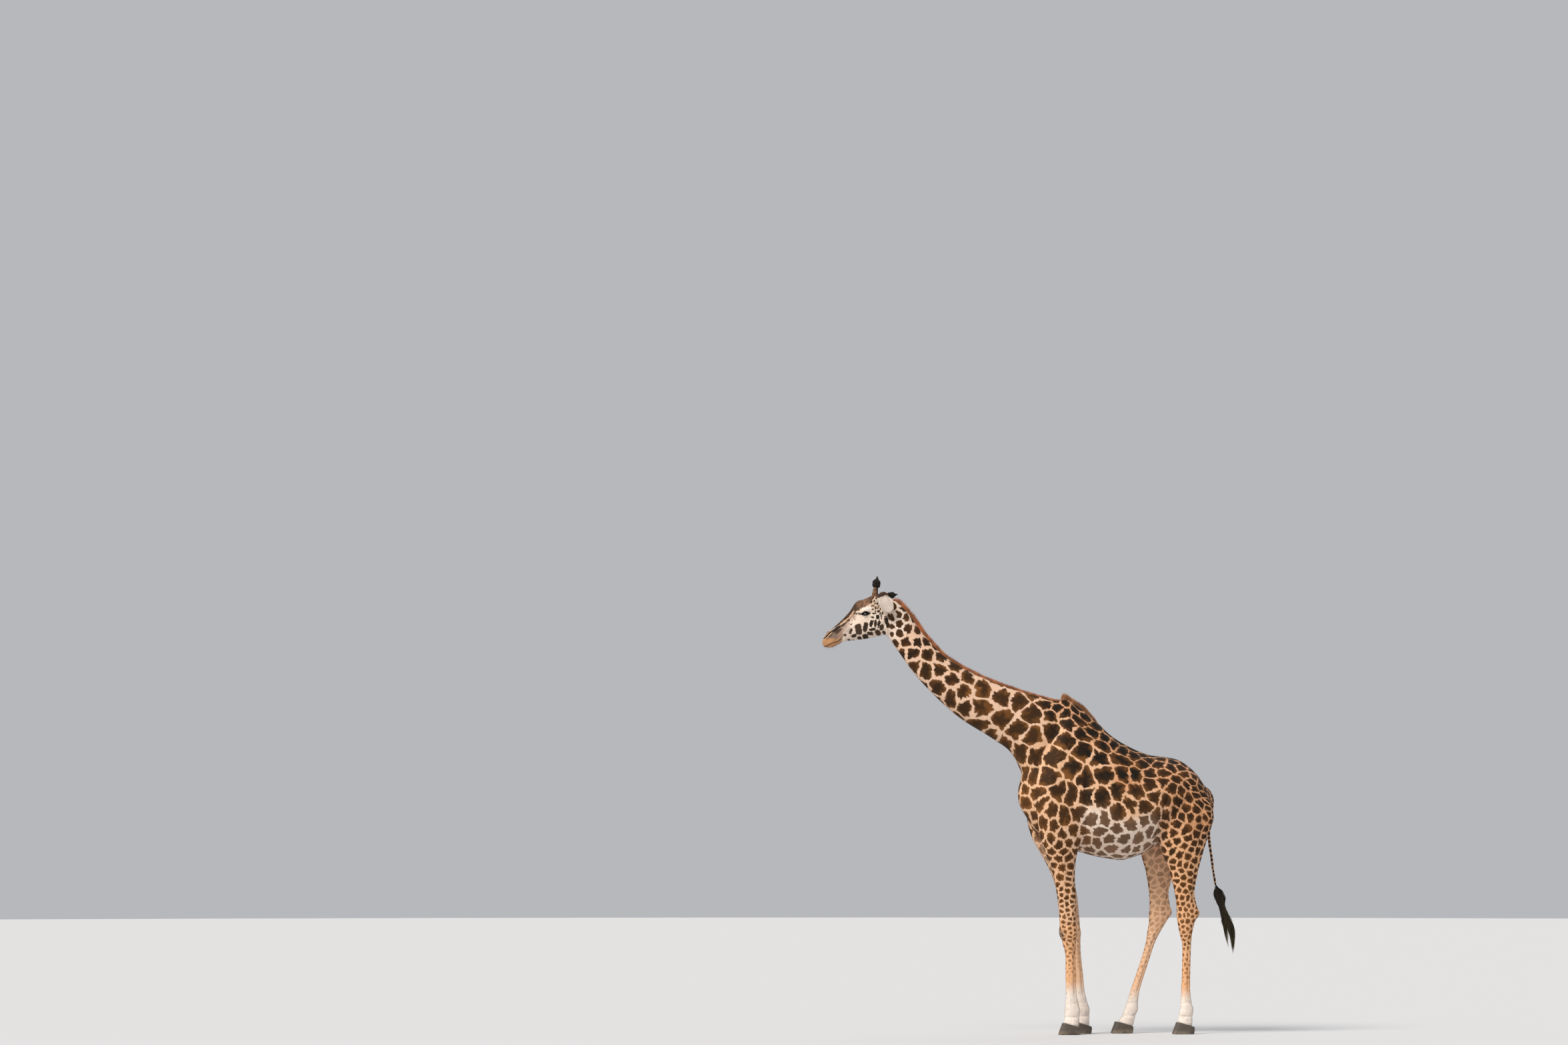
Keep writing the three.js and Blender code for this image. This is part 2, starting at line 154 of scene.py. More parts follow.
def mesh_from(name, points, faces):
    mesh = bpy.data.meshes.new(name)
    mesh.from_pydata(np.asarray(points).tolist(), [], faces)
    return mesh


def new_finish(name, settings):
    """A material with plain values on its shader, then its node tree and its shader to build on."""
    finish = bpy.data.materials.new(name)
    finish.use_nodes = True
    shader = finish.node_tree.nodes["Principled BSDF"]
    for title, value in settings.items():
        shader.inputs[title].default_value = value
    return finish, finish.node_tree, shader


floor_finish, _, _ = new_finish("pale_floor", {"Base Color": (0.62, 0.62, 0.62, 1), "Roughness": 0.9})
floor_mesh = mesh_from("floor", *plain_disc(60, 6))
floor_mesh.materials.append(floor_finish)
floor = in_scene("floor", floor_mesh)

# %% [markdown]
# ## The body as lofts
# A loft is a skin pulled over a row of ribs. Each rib here is a station: the two ends of its long axis as
# x, z, x, z, then half its width. Three more numbers may follow, and are zero if they don't: where its
# middle lies across the body, how much wider the first end is than the second, and how boxy it is. Neck,
# trunk, head and legs are one loft each. Sculpting from a ball would work too, but stations keep the
# animal's measured outline exactly.

# %% Stations and lofts
def smooth_rows(stations, count):
    """Evenly spaced rows on a smooth curve through the given ones, in metres."""
    rows = np.array([[*row, 0, 0, 0][:8] for row in stations], float)
    middle = np.stack([(rows[:, 0] + rows[:, 2]) / 2, rows[:, 5], (rows[:, 1] + rows[:, 3]) / 2], 1)
    at = np.concatenate([[0], np.cumsum(np.linalg.norm(np.diff(middle, axis=0), axis=1) + 1)])
    where = np.linspace(0, at[-1], count)
    i = np.clip(np.searchsorted(at, where, side="right") - 1, 0, len(rows) - 2)
    last = np.arange(len(rows))
    before, after = np.maximum(last - 1, 0), np.minimum(last + 1, len(rows) - 1)
    slope = (rows[after] - rows[before]) / (at[after] - at[before])[:, None]
    span = (at[i + 1] - at[i])[:, None]
    f = (where - at[i])[:, None] / span
    ease = f * f * (3 - 2 * f)
    bend = f * (1 - f) * span * ((1 - f) * slope[i] - f * slope[i + 1])
    out = rows[i] + (rows[i + 1] - rows[i]) * ease + bend
    out[:, :6] *= MM
    return out


def tube_faces(rings, sides):
    """Quads between the rings and a fan over each end. The two middle points come last."""
    i, j = np.meshgrid(np.arange(rings - 1), np.arange(sides), indexing="ij")
    a, b = i * sides + j, i * sides + (j + 1) % sides
    faces = np.stack([a, b, b + sides, a + sides], -1).reshape(-1, 4).tolist()
    first, last = rings * sides, rings * sides + 1
    foot = (rings - 1) * sides
    faces += [(first, (k + 1) % sides, k) for k in range(sides)]
    faces += [(last, foot + k, foot + (k + 1) % sides) for k in range(sides)]
    return faces


def loft(stations, grow, sides, rings):
    """The skin over a row of stations, moved outwards by grow millimetres."""
    rows = smooth_rows(stations, rings)
    turn = np.linspace(0, 2 * math.pi, sides, endpoint=False)
    power = 1 - 0.35 * rows[:, 7:8]
    along = np.sign(np.cos(turn)) * np.abs(np.cos(turn)) ** power
    across = np.sign(np.sin(turn)) * np.abs(np.sin(turn)) ** power
    axis = (rows[:, 0:2] - rows[:, 2:4]) / 2
    stretch = 1 + grow * MM / np.linalg.norm(axis, axis=1)
    points = np.zeros((rings, sides, 3))
    points[..., 0] = (rows[:, 0] + rows[:, 2])[:, None] / 2 + along * (axis[:, 0] * stretch)[:, None]
    points[..., 2] = (rows[:, 1] + rows[:, 3])[:, None] / 2 + along * (axis[:, 1] * stretch)[:, None]
    points[..., 1] = rows[:, 5:6] + across * (rows[:, 4:5] + grow * MM) * (1 + rows[:, 6:7] * along)
    ends = np.stack([points[0].mean(0), points[-1].mean(0)])
    return np.concatenate([points.reshape(-1, 3), ends]), tube_faces(rings, sides)


# %% Trunk and neck
# How far the skin of body, legs and head lies inside the measured outline, to leave room for the hair.
COAT_DEPTH, LEG_COAT, HEAD_COAT = 5, 4, 3

TRUNK = [
    (-420, 2062, -420, 1965, 32), (-352, 2330, -392, 1880, 104, 0, -0.1),
    (-280, 2620, -290, 1710, 175, 0, -0.2), (-150, 2745, -160, 1610, 222, 0, -0.3),
    (-20, 2810, -20, 1555, 248, 0, -0.4), (125, 2728, 115, 1520, 272, 0, -0.4),
    (240, 2635, 230, 1488, 292, 0, -0.35), (362, 2518, 350, 1466, 312, 0, -0.25),
    (502, 2428, 480, 1455, 325, 0, -0.15), (690, 2348, 640, 1505, 312, 0, -0.05),
    (860, 2320, 790, 1590, 276, 0, 0.05), (985, 2290, 920, 1650, 240, 0, 0.05),
    (1115, 2185, 1050, 1690, 196, 0, 0.05), (1205, 2055, 1150, 1740, 142), (1246, 1960, 1220, 1850, 60),
]
NECK = [
    (30, 2770, -330, 2030, 165, 0, -0.25), (-133, 2806, -462, 2325, 148, 0, -0.25),
    (-398, 2873, -626, 2459, 124, 0, -0.2), (-736, 2994, -952, 2666, 104, 8, -0.15),
    (-1030, 3155, -1268, 2968, 88, 28, -0.1), (-1224, 3356, -1456, 3226, 80, 58, -0.05),
    (-1352, 3538, -1518, 3318, 78, 86), (-1455, 3634, -1558, 3345, 76, 108),
    (-1500, 3640, -1600, 3380, 66, 122),
]
masses = [loft(TRUNK, -COAT_DEPTH, 96, 150), loft(NECK, -COAT_DEPTH, 64, 130)]

# %% Legs
# Rows of height, front x, back x, half width and distance from the middle of the body.
FORELEG = [
    [2330, -215, 60, 52, 150], [2120, -285, 105, 78, 168], [1930, -310, 120, 90, 176],
    [1780, -300, 112, 94, 178], [1650, -275, 92, 90, 173], [1530, -236, 52, 80, 165],
    [1380, -176, 30, 68, 160], [1140, -124, 38, 58, 153], [960, -106, 44, 54, 150],
    [850, -102, 44, 56, 148], [762, -80, 40, 48, 146], [678, -57, 37, 38, 145],
    [510, -54, 43, 36, 143], [340, -52, 50, 38, 141], [205, -60, 75, 48, 140],
    [140, -64, 72, 46, 140], [86, -74, 66, 52, 140], [68, -62, 52, 44, 140],
]
HINDLEG = [
    [2130, 930, 1080, 30, 85], [1980, 830, 1196, 70, 132], [1830, 775, 1232, 96, 160],
    [1700, 752, 1200, 104, 160], [1590, 756, 1160, 98, 160], [1500, 784, 1132, 88, 160],
    [1380, 836, 1100, 72, 156], [1190, 886, 1070, 55, 152], [1070, 903, 1086, 46, 150],
    [1010, 908, 1100, 45, 149], [930, 914, 1066, 46, 148], [845, 930, 1046, 43, 146],
    [760, 950, 1037, 36, 144], [610, 952, 1032, 34, 142], [350, 944, 1030, 36, 140],
    [205, 932, 1050, 44, 140], [140, 920, 1048, 44, 140], [86, 908, 1044, 51, 140],
    [68, 920, 1030, 43, 140],
]
# How far back each leg has swung: heights, from the ground up, and shifts.
SWINGS = {
    "left_fore": ([0, 3000], [0, 0]),
    "right_fore": ([0, 850, 1140, 1500, 1700, 3000], [165, 108, 90, 42, 0, 0]),
    "left_hind": ([0, 3000], [0, 0]),
    "right_hind": ([0, 350, 760, 920, 1010, 1480, 1750, 3000], [-458, -368, -238, -172, -160, -112, 0, 0]),
}
# Fore legs stand ahead of this x and hind legs behind it, in metres.
BETWEEN_LEGS = 0.36


def side_of(leg):
    return SIDES[leg.split("_")[0]]


def leg_stations(leg):
    rows = FORELEG if "fore" in leg else HINDLEG
    out = []
    for z, front, back, half, y in rows:
        shift = np.interp(z, *SWINGS[leg])
        slope = 17 if z < 100 else 0  # the hair line over a hoof falls from the toe to the heel
        boxy = 0.15 * (z < 1200)
        out.append((front + shift, z + slope, back + shift, z - slope, half, side_of(leg) * y, 0, boxy))
    return out


masses += [loft(leg_stations(leg), -LEG_COAT, 44, 160) for leg in SWINGS]

# %% [markdown]
# ## The head
# The head is a loft too, with balls joined on for the brows, the cheeks, the soft nostril pads and the
# bump on the forehead. The lids start as a slightly larger ball over each eye. The ears are cupped
# leaves on short round bases, and the horn stalks and the tail are round rods along a curve.

# %% Head loft and its rounded masses
HEAD = [
    (70, 118, -15, -125, 58), (38, 152, -50, -160, 74), (-28, 182, -125, -176, 82, 0, -0.1, 0.1),
    (-108, 191, -188, -190, 90, 0, -0.1, 0.2), (-182, 160, -244, -196, 92, 0, -0.05, 0.25),
    (-235, 140, -296, -202, 80, 0, 0, 0.2), (-279, 120, -341, -207, 64, 0, 0, 0.15),
    (-320, 57, -375, -213, 53, 0, -0.05), (-370, -2, -398, -221, 46, 0, -0.05),
    (-428, -58, -421, -232, 43, 0, 0, 0.1), (-480, -103, -446, -248, 45, 0, 0.05, 0.2),
    (-515, -138, -470, -257, 46, 0, 0.05, 0.3), (-541, -172, -503, -260, 42, 0, 0.05, 0.3),
    (-556, -208, -536, -258, 26, 0, 0, 0.2),
]


def ball(sides=32, rings=24):
    """A unit ball as rings of points around X, with its two poles last."""
    tilt = np.linspace(0, math.pi, rings + 2)[1:-1]
    turn = np.linspace(0, 2 * math.pi, sides, endpoint=False)
    ring = np.stack([0 * turn + 1, np.cos(turn), np.sin(turn)], 1)
    points = ring[None] * np.stack([np.cos(tilt), np.sin(tilt), np.sin(tilt)], 1)[:, None]
    points = np.concatenate([points.reshape(-1, 3), [[1, 0, 0], [-1, 0, 0]]])
    return points, tube_faces(rings, sides)


def head_ball(middle, half_sizes, turn, side=1):
    """A ball squeezed to half_sizes in the head's frame, its nose end turned down by turn degrees."""
    points, faces = ball()
    points = points * (np.array(half_sizes) * MM)
    lean = np.array(Matrix.Rotation(math.radians(-turn), 3, "Y"))
    return from_head(points @ lean.T + mirrored(np.array(middle) * MM, side)), faces


# The middle of each ball, its half sizes and its turn. They are doubled on both sides.
HEAD_BALLS = [
    ([-182, 70, 22], [58, 32, 34], 20),
    ([-150, 50, -95], [92, 37, 77], 10),
    ([-488, 28, -156], [32, 20, 28], 40),
    ([-84, 62, 134], [34, 30, 34], 0),
    (EYE / MM, [30.5, 30.5, 30.5], 0),
]
head_points, head_faces = loft(HEAD, -HEAD_COAT, 64, 120)
masses.append((from_head(head_points), head_faces))
masses.append(head_ball([-238, 0, 110], [49, 33, 31], 12))
masses += [head_ball(*shape, side) for side in SIDES.values() for shape in HEAD_BALLS]

# %% Ears
EAR_LENGTH, EAR_WIDTH, EAR_HALF_THICK = 190, 114, 6
EAR_ROOT = np.array([-53, 80, 163]) * MM


def ear_frame(side):
    """Towards the ear's tip, across it, and out of its hollow, in the head's frame."""
    to_tip = np.array([0.50, side * 0.33, -0.79])
    to_tip /= np.linalg.norm(to_tip)
    across = np.cross([0, side * 0.88, 0.47], to_tip)
    across /= np.linalg.norm(across)
    return np.stack([to_tip, across, np.cross(to_tip, across)])


def ear_leaf(along):
    """The ear's share of its full width, from the root (0) to the tip (1)."""
    return 1.04 - 0.1 * along


def ear_bend(across, along):
    """How far the hollow's surface lies out of the flat, in millimetres."""
    return 0.5 * across**2 / (EAR_WIDTH / 2) - 14 * np.sin(math.pi * along)


def ear(side):
    points, faces = ball(56, 60)
    along = (points[:, 0] + 1) / 2
    across = points[:, 1] * ear_leaf(along) * EAR_WIDTH / 2
    depth = points[:, 2] * EAR_HALF_THICK + ear_bend(across, along)
    shaped = np.stack([along * EAR_LENGTH, across, depth], 1) * MM
    return from_head(shaped @ ear_frame(side) + mirrored(EAR_ROOT, side)), faces


masses += [ear(side) for side in SIDES.values()]


# %% Horn stalks, ear bases and tail
def curve_through(points, count):
    """Points on a smooth curve through the given ones, which are spread evenly along it."""
    points = np.array(points, float)
    t = np.linspace(0, len(points) - 1, count)
    i = np.minimum(t.astype(int), len(points) - 2)
    f = (t - i)[:, None]
    padded = np.concatenate([[2 * points[0] - points[1]], points, [2 * points[-1] - points[-2]]])
    slope = (padded[2:] - padded[:-2]) / 2
    ease = f * f * (3 - 2 * f)
    bend = f * (1 - f) * ((1 - f) * slope[i] - f * slope[i + 1])
    return points[i] * (1 - ease) + points[i + 1] * ease + bend


def rod(points, radii, sides=24, rings=60):
    """A round rod along a curve, its radii spread evenly from end to end."""
    line = curve_through(points, rings)
    way = np.gradient(line, axis=0)
    way /= np.linalg.norm(way, axis=1)[:, None]
    out = np.cross(way, [0.3, 1, 0.2])
    out /= np.linalg.norm(out, axis=1)[:, None]
    round_way = np.cross(way, out)
    radius = np.interp(np.linspace(0, 1, rings), np.linspace(0, 1, len(radii)), radii)
    turn = np.linspace(0, 2 * math.pi, sides, endpoint=False)
    ring = np.cos(turn)[None, :, None] * out[:, None] + np.sin(turn)[None, :, None] * round_way[:, None]
    shape = line[:, None] + ring * radius[:, None, None]
    return np.concatenate([shape.reshape(-1, 3), line[[0, -1]]]) * MM, tube_faces(rings, sides)


# Root, bend, start of the tuft and tip, in the head's frame.
OSSICONES = {
    "left": np.array([[-110, -50, 165], [-104, -56, 215], [-100, -60, 240], [-90, -64, 326]]),
    "right": np.array([[-104, 46, 155], [-62, 62, 200], [-20, 74, 190], [56, 96, 204]]),
}
EAR_BASE = [[-66, 38, 124], [-52, 64, 138], [-40, 88, 142]]
TAIL = [
    [1196, 0, 2060], [1250, 0, 1985], [1248, -2, 1850], [1228, -6, 1680], [1256, -10, 1420],
    [1284, -12, 1240],
]
head_rods = []
for root, bend, tuft, tip in OSSICONES.values():
    stalk = [root - 0.9 * (bend - root), root, bend, tuft, tuft + 0.35 * (tip - tuft)]
    head_rods.append(rod(stalk, [36, 29, 21, 18, 14]))
for side in SIDES.values():
    head_rods.append(rod([mirrored(place, side) for place in EAR_BASE], [30, 24, 13]))
masses += [(from_head(points), faces) for points, faces in head_rods]
masses.append(rod(TAIL, [32, 25, 17, 13, 11, 10], 24, 140))
print(len(masses), "masses,", sum(len(points) for points, _ in masses), "points")

# %% [markdown]
# ## One skin over everything
# Joining the masses with booleans would leave hard creases. A voxel remesh instead fills them all with
# tiny cubes and wraps one even skin round the lot, which is what clay does under the hand. A face needs
# far finer cubes than a flank, and the remesh has only one size, so space is stretched round the head
# first and let back afterwards. The face then gets cubes of 3 mm where the trunk has 9 mm.

# %% A lens that magnifies the head
SKULL = np.array([-0.24, 0, -0.02])
HEAD_MIDDLE = from_head(SKULL)
LENS_REACH, LENS_POWER = 0.40, 2.9
LENS_EXTRA = LENS_REACH * (LENS_POWER - 1)


def magnified(points):
    arm = points - HEAD_MIDDLE
    far = np.linalg.norm(arm, axis=1, keepdims=True) + 1e-9
    return HEAD_MIDDLE + arm * np.where(far < LENS_REACH, LENS_POWER, 1 + LENS_EXTRA / far)


def let_back(points):
    arm = points - HEAD_MIDDLE
    far = np.linalg.norm(arm, axis=1, keepdims=True) + 1e-9
    inside = far < LENS_REACH * LENS_POWER
    return HEAD_MIDDLE + arm * np.where(inside, 1 / LENS_POWER, 1 - LENS_EXTRA / far)


# %% Remesh the masses into one skin
def remeshed(mesh, voxel):
    clay = in_scene("clay", mesh)
    remesh = clay.modifiers.new("one_skin", "REMESH")
    remesh.mode = "VOXEL"
    remesh.voxel_size = voxel
    ready = clay.evaluated_get(bpy.context.evaluated_depsgraph_get())
    made = bpy.data.meshes.new_from_object(ready)
    bpy.data.objects.remove(clay)
    return made


def read_all(items, field, width, kind):
    """One field of every item of a mesh, in rows of the given width."""
    values = np.empty(len(items) * width, kind)
    items.foreach_get(field, values)
    return values.reshape(-1, width)


VOXEL = 0.009
starts = np.cumsum([0] + [len(points) for points, _ in masses]).tolist()
all_points = np.concatenate([points for points, _ in masses])
all_faces = [tuple(start + k for k in face) for start, (_, faces) in zip(starts, masses) for face in faces]
skin_mesh = remeshed(mesh_from("masses", magnified(all_points), all_faces), VOXEL)
skin_points = let_back(read_all(skin_mesh.vertices, "co", 3, np.float32).astype(float))
skin_faces = read_all(skin_mesh.loops, "vertex_index", 1, np.int32).reshape(-1, 4)
skin_edges = read_all(skin_mesh.edges, "vertices", 2, np.int32)
print("skin:", len(skin_points), "points,", len(skin_faces), "quads")

# %% [markdown]
# ## Soften the joins
# Where two masses meet, the remesh leaves a crease. On the live animal the skin bridges it, so the
# points there are drawn towards the middle of their neighbours again and again, which is what a smooth
# brush does. The amount differs from place to place: much where neck and legs run into the trunk, little
# where a real fold lies.

# %% Smoothing by neighbours
def ramp(value, start, end):
    """0 before start, 1 after end, and a soft step between them."""
    f = np.clip((value - start) / (end - start), 0, 1)
    return f * f * (3 - 2 * f)


def soften(points, share, rounds):
    a, b = skin_edges.T
    size = len(points)
    count = np.bincount(skin_edges.ravel(), minlength=size)[:, None]
    for _ in range(rounds):
        total = [np.bincount(a, row[b], size) + np.bincount(b, row[a], size) for row in points.T]
        points = points + share[:, None] * (np.stack(total, 1) / count - points)
    return points


def near_place(points, x, z, reach):
    """1 at a place seen from the side, fading to 0 at its reach."""
    return 1 - ramp(np.hypot(points[:, 0] - x * MM, points[:, 2] - z * MM), 0.3 * reach * MM, reach * MM)


# Each join: x, z, how far it reaches and how much it is softened.
JOINS = [
    (-230, 2450, 520, 1.0), (-120, 2250, 300, 1.0), (-340, 2080, 220, 0.8), (1010, 2020, 330, 1.0),
    (1190, 2040, 160, 0.9), (-10, 1700, 170, 0.5), (820, 1680, 190, 0.5), (1000, 1560, 160, 0.4),
]
softness = np.zeros(len(skin_points))
for x, z, reach, much in JOINS:
    softness = np.maximum(softness, much * near_place(skin_points, x, z, reach))
skin_points = soften(skin_points, 0.55 * softness, 60)

in_head = to_head(skin_points)
at_poll = 1 - ramp(np.linalg.norm(in_head - [-0.02, 0, -0.02], axis=1), 0.06, 0.22)
skin_points = soften(skin_points, 0.5 * at_poll, 40)
skin_points = soften(skin_points, np.full(len(skin_points), 0.5), 4)
print("the joins are smoothed")

# %% [markdown]
# ## Sculpt the forms under the skin
# Two strokes do nearly all the work. A crease follows a path drawn on the side of the animal and presses
# the skin in, or with a negative depth raises a ridge such as a tendon or a vein. A swell lifts a round
# area, for a muscle or a bone. Both push along the surface's own direction, so they follow its curve.

# %% The two strokes
def face_cross(points):
    """Each face's direction, as long as twice its area."""
    corner = points[skin_faces]
    return np.cross(corner[:, 2] - corner[:, 0], corner[:, 3] - corner[:, 1])


def outward(points):
    """The direction each skin point faces."""
    flat = face_cross(points).T
    total = [sum(np.bincount(column, part, len(points)) for column in skin_faces.T) for part in flat]
    way = np.stack(total, 1)
    return way / (np.linalg.norm(way, axis=1)[:, None] + 1e-12)


def path_distance(places, path):
    """How far each place is from a path, and how far along it the nearest part is (0 to 1)."""
    path = np.array(path, float) * MM
    step = np.linalg.norm(np.diff(path, axis=0), axis=1)
    at = np.concatenate([[0], np.cumsum(step)]) / step.sum()
    nearest, along = np.full(len(places), 9.0), np.zeros(len(places))
    for a, b, t0, t1 in zip(path[:-1], path[1:], at[:-1], at[1:]):
        f = np.clip((places - a) @ (b - a) / ((b - a) @ (b - a)), 0, 1)
        far = np.linalg.norm(places - a - f[:, None] * (b - a), axis=1)
        closer = far < nearest
        nearest[closer], along[closer] = far[closer], (t0 + f * (t1 - t0))[closer]
    return nearest, along


def crease(places, path, width, depth, where=1.0):
    far, along = path_distance(places[:, [0, 2]], path)
    fade = np.clip(np.sin(math.pi * np.clip(along, 0.02, 0.98)) * 2.2, 0, 1)
    return -depth * MM * np.exp(-((far / (width * MM)) ** 2)) * fade * where


def swell(places, middle, half_sizes, height, where=1.0):
    arm = np.stack([places[:, 0], np.abs(places[:, 1]), places[:, 2]], 1) - np.array(middle) * MM
    return height * MM * np.exp(-((arm / (np.array(half_sizes) * MM)) ** 2).sum(1)) * where


def sculpt(lift, places, strokes):
    """Add creases (path, width, depth) and swells (middle, half sizes, height) to lift."""
    for shape, size, *rest in strokes:
        stroke = swell if isinstance(size, list) else crease
        lift += stroke(places, shape, size, *rest)


# %% Stand the legs side by side
def unswung(points):
    """The same places with the two stepping legs put back under the body."""
    out = points.copy()
    for leg, (heights, shifts) in SWINGS.items():
        on_leg = (points[:, 1] * side_of(leg) > 0.03) & (points[:, 2] < 1.75)
        on_leg &= (points[:, 0] < BETWEEN_LEGS) if "fore" in leg else (points[:, 0] > BETWEEN_LEGS)
        out[:, 0] -= on_leg * np.interp(points[:, 2] / MM, heights, shifts) * MM
    return out


# %% Trunk, shoulders and haunches
body = unswung(skin_points)
facing = outward(skin_points)
beside = ramp(np.abs(body[:, 1]), 0.04, 0.12)
on_top = 1 - ramp(np.abs(body[:, 1]), 0.01, 0.05)
lift = np.zeros(len(skin_points))
sculpt(lift, body, [
    ([(-60, 2700), (-150, 2480), (-265, 2290), (-330, 2150)], 45, 12, beside),
    ([(-10, 2640), (-75, 2400), (-160, 2180), (-235, 2040)], 40, -9, beside),
    ([(-378, 2240), (-388, 2050), (-352, 1850), (-318, 1700)], 22, 9),
    ([(105, 2180), (92, 1960), (104, 1760), (112, 1600), (96, 1500)], 24, 13, beside),
    ([(150, 2600), (128, 2350), (112, 2100)], 50, 7, beside),
    ([(812, 2010), (776, 1900), (748, 1780), (728, 1650), (716, 1555)], 17, 15, beside),
    ([(850, 1990), (806, 1860), (786, 1740), (776, 1620)], 30, -9, beside),
    ([(1010, 2120), (960, 1940), (930, 1760), (925, 1600)], 38, 6, beside),
    ([(1120, 2080), (1130, 1900), (1110, 1720), (1075, 1560)], 26, 7, beside),
    ([-210, 215, 2060], [90, 90, 130], 14),
    ([-110, 250, 1820], [90, 70, 150], 8),
    ([820, 215, 2225], [70, 80, 60], 16),
    ([1010, 150, 2170], [110, 90, 70], 8),
    ([930, 255, 1860], [110, 70, 170], 10),
    ([800, 250, 1650], [50, 60, 70], 10),
    ([(240, 2640), (520, 2440), (800, 2340), (1000, 2290)], 16, -5, on_top),
])

ribs = ramp(body[:, 0], 0.12, 0.26) * (1 - ramp(body[:, 0], 0.60, 0.74))
ribs *= ramp(body[:, 2], 1.62, 1.80) * (1 - ramp(body[:, 2], 2.15, 2.35)) * beside
lift += 2.2 * MM * ribs * np.sin((body[:, 0] + 0.30 * (body[:, 2] - 2)) / 0.078 * 2 * math.pi)

# %% Legs: tendons, knees, hocks and fetlocks
fore, hind = body[:, 0] < BETWEEN_LEGS, body[:, 0] > BETWEEN_LEGS
low = 1 - ramp(body[:, 2], 1.45, 1.6)
sculpt(lift, body, [
    ([(-62, 1500), (-48, 1300), (-38, 1080), (-34, 940)], 22, 8, fore * low),
    ([(14, 760), (20, 600), (20, 430), (22, 290)], 9, 7, fore),
    ([(-26, 740), (-20, 560), (-18, 360)], 8, 2, fore),
    ([(-100, 800), (-60, 772), (20, 768)], 12, 4, fore),
    ([(-100, 902), (-50, 912), (30, 905)], 12, 4, fore),
    ([-88, 148, 852], [30, 40, 42], 8, fore),
    ([26, 148, 850], [26, 40, 36], 7, fore),
    ([(1068, 1400), (1052, 1260), (1048, 1150), (1056, 1080)], 15, 17, hind * low),
    ([(1008, 880), (1004, 700), (1002, 480), (1002, 300)], 9, 7, hind),
    ([(960, 860), (964, 640), (962, 380)], 8, 2, hind),
    ([1088, 149, 1012], [26, 40, 40], 9, hind),
    ([930, 149, 990], [30, 50, 44], 6, hind),
])
# The hind feet stand 988 mm behind the fore feet.
for shift, leg in ((0, fore), (988, hind)):
    sculpt(lift, body, [
        ([(shift - 62, 152), (shift, 146), (shift + 60, 150)], 11, 5, leg),
        ([(shift - 50, 250), (shift, 262), (shift + 56, 256)], 12, 3, leg),
        ([shift + 52, 140, 205], [24, 40, 30], 7, leg),
    ])
skin_points = skin_points + facing * lift[:, None]
print("body forms up to", round(float(np.abs(lift).max() / MM), 1), "mm")

# %% [markdown]
# ## Sculpt the face
# The head's masses are softened into each other first. Then come the forms that make the expression: the
# brow, the bag under the eye, the long hollow beside the nose, the slit nostrils with their raised rims,
# the lips, and the folds where the jaw presses on the throat. All of it is drawn in the head's own frame.

# %% Blend the head's masses
# Each place: x, z, how far it reaches, how much it is softened and in how many rounds.
HEAD_JOINS = [
    (-150, -100, 150, 0.55, 70), (-182, 30, 85, 0.5, 22), (-488, -156, 60, 0.45, 14),
    (-238, 110, 90, 0.5, 30), (-112, 146, 85, 0.55, 60), (60, -20, 260, 0.3, 20),
]
for x, z, reach, much, rounds in HEAD_JOINS:
    in_head = to_head(skin_points)
    near_skull = (np.linalg.norm(in_head - SKULL, axis=1) < 0.45) & (np.abs(in_head[:, 1]) < 0.125)
    share = much * near_place(in_head, x, z, reach) * near_skull
    skin_points = soften(skin_points, share, rounds // (1))

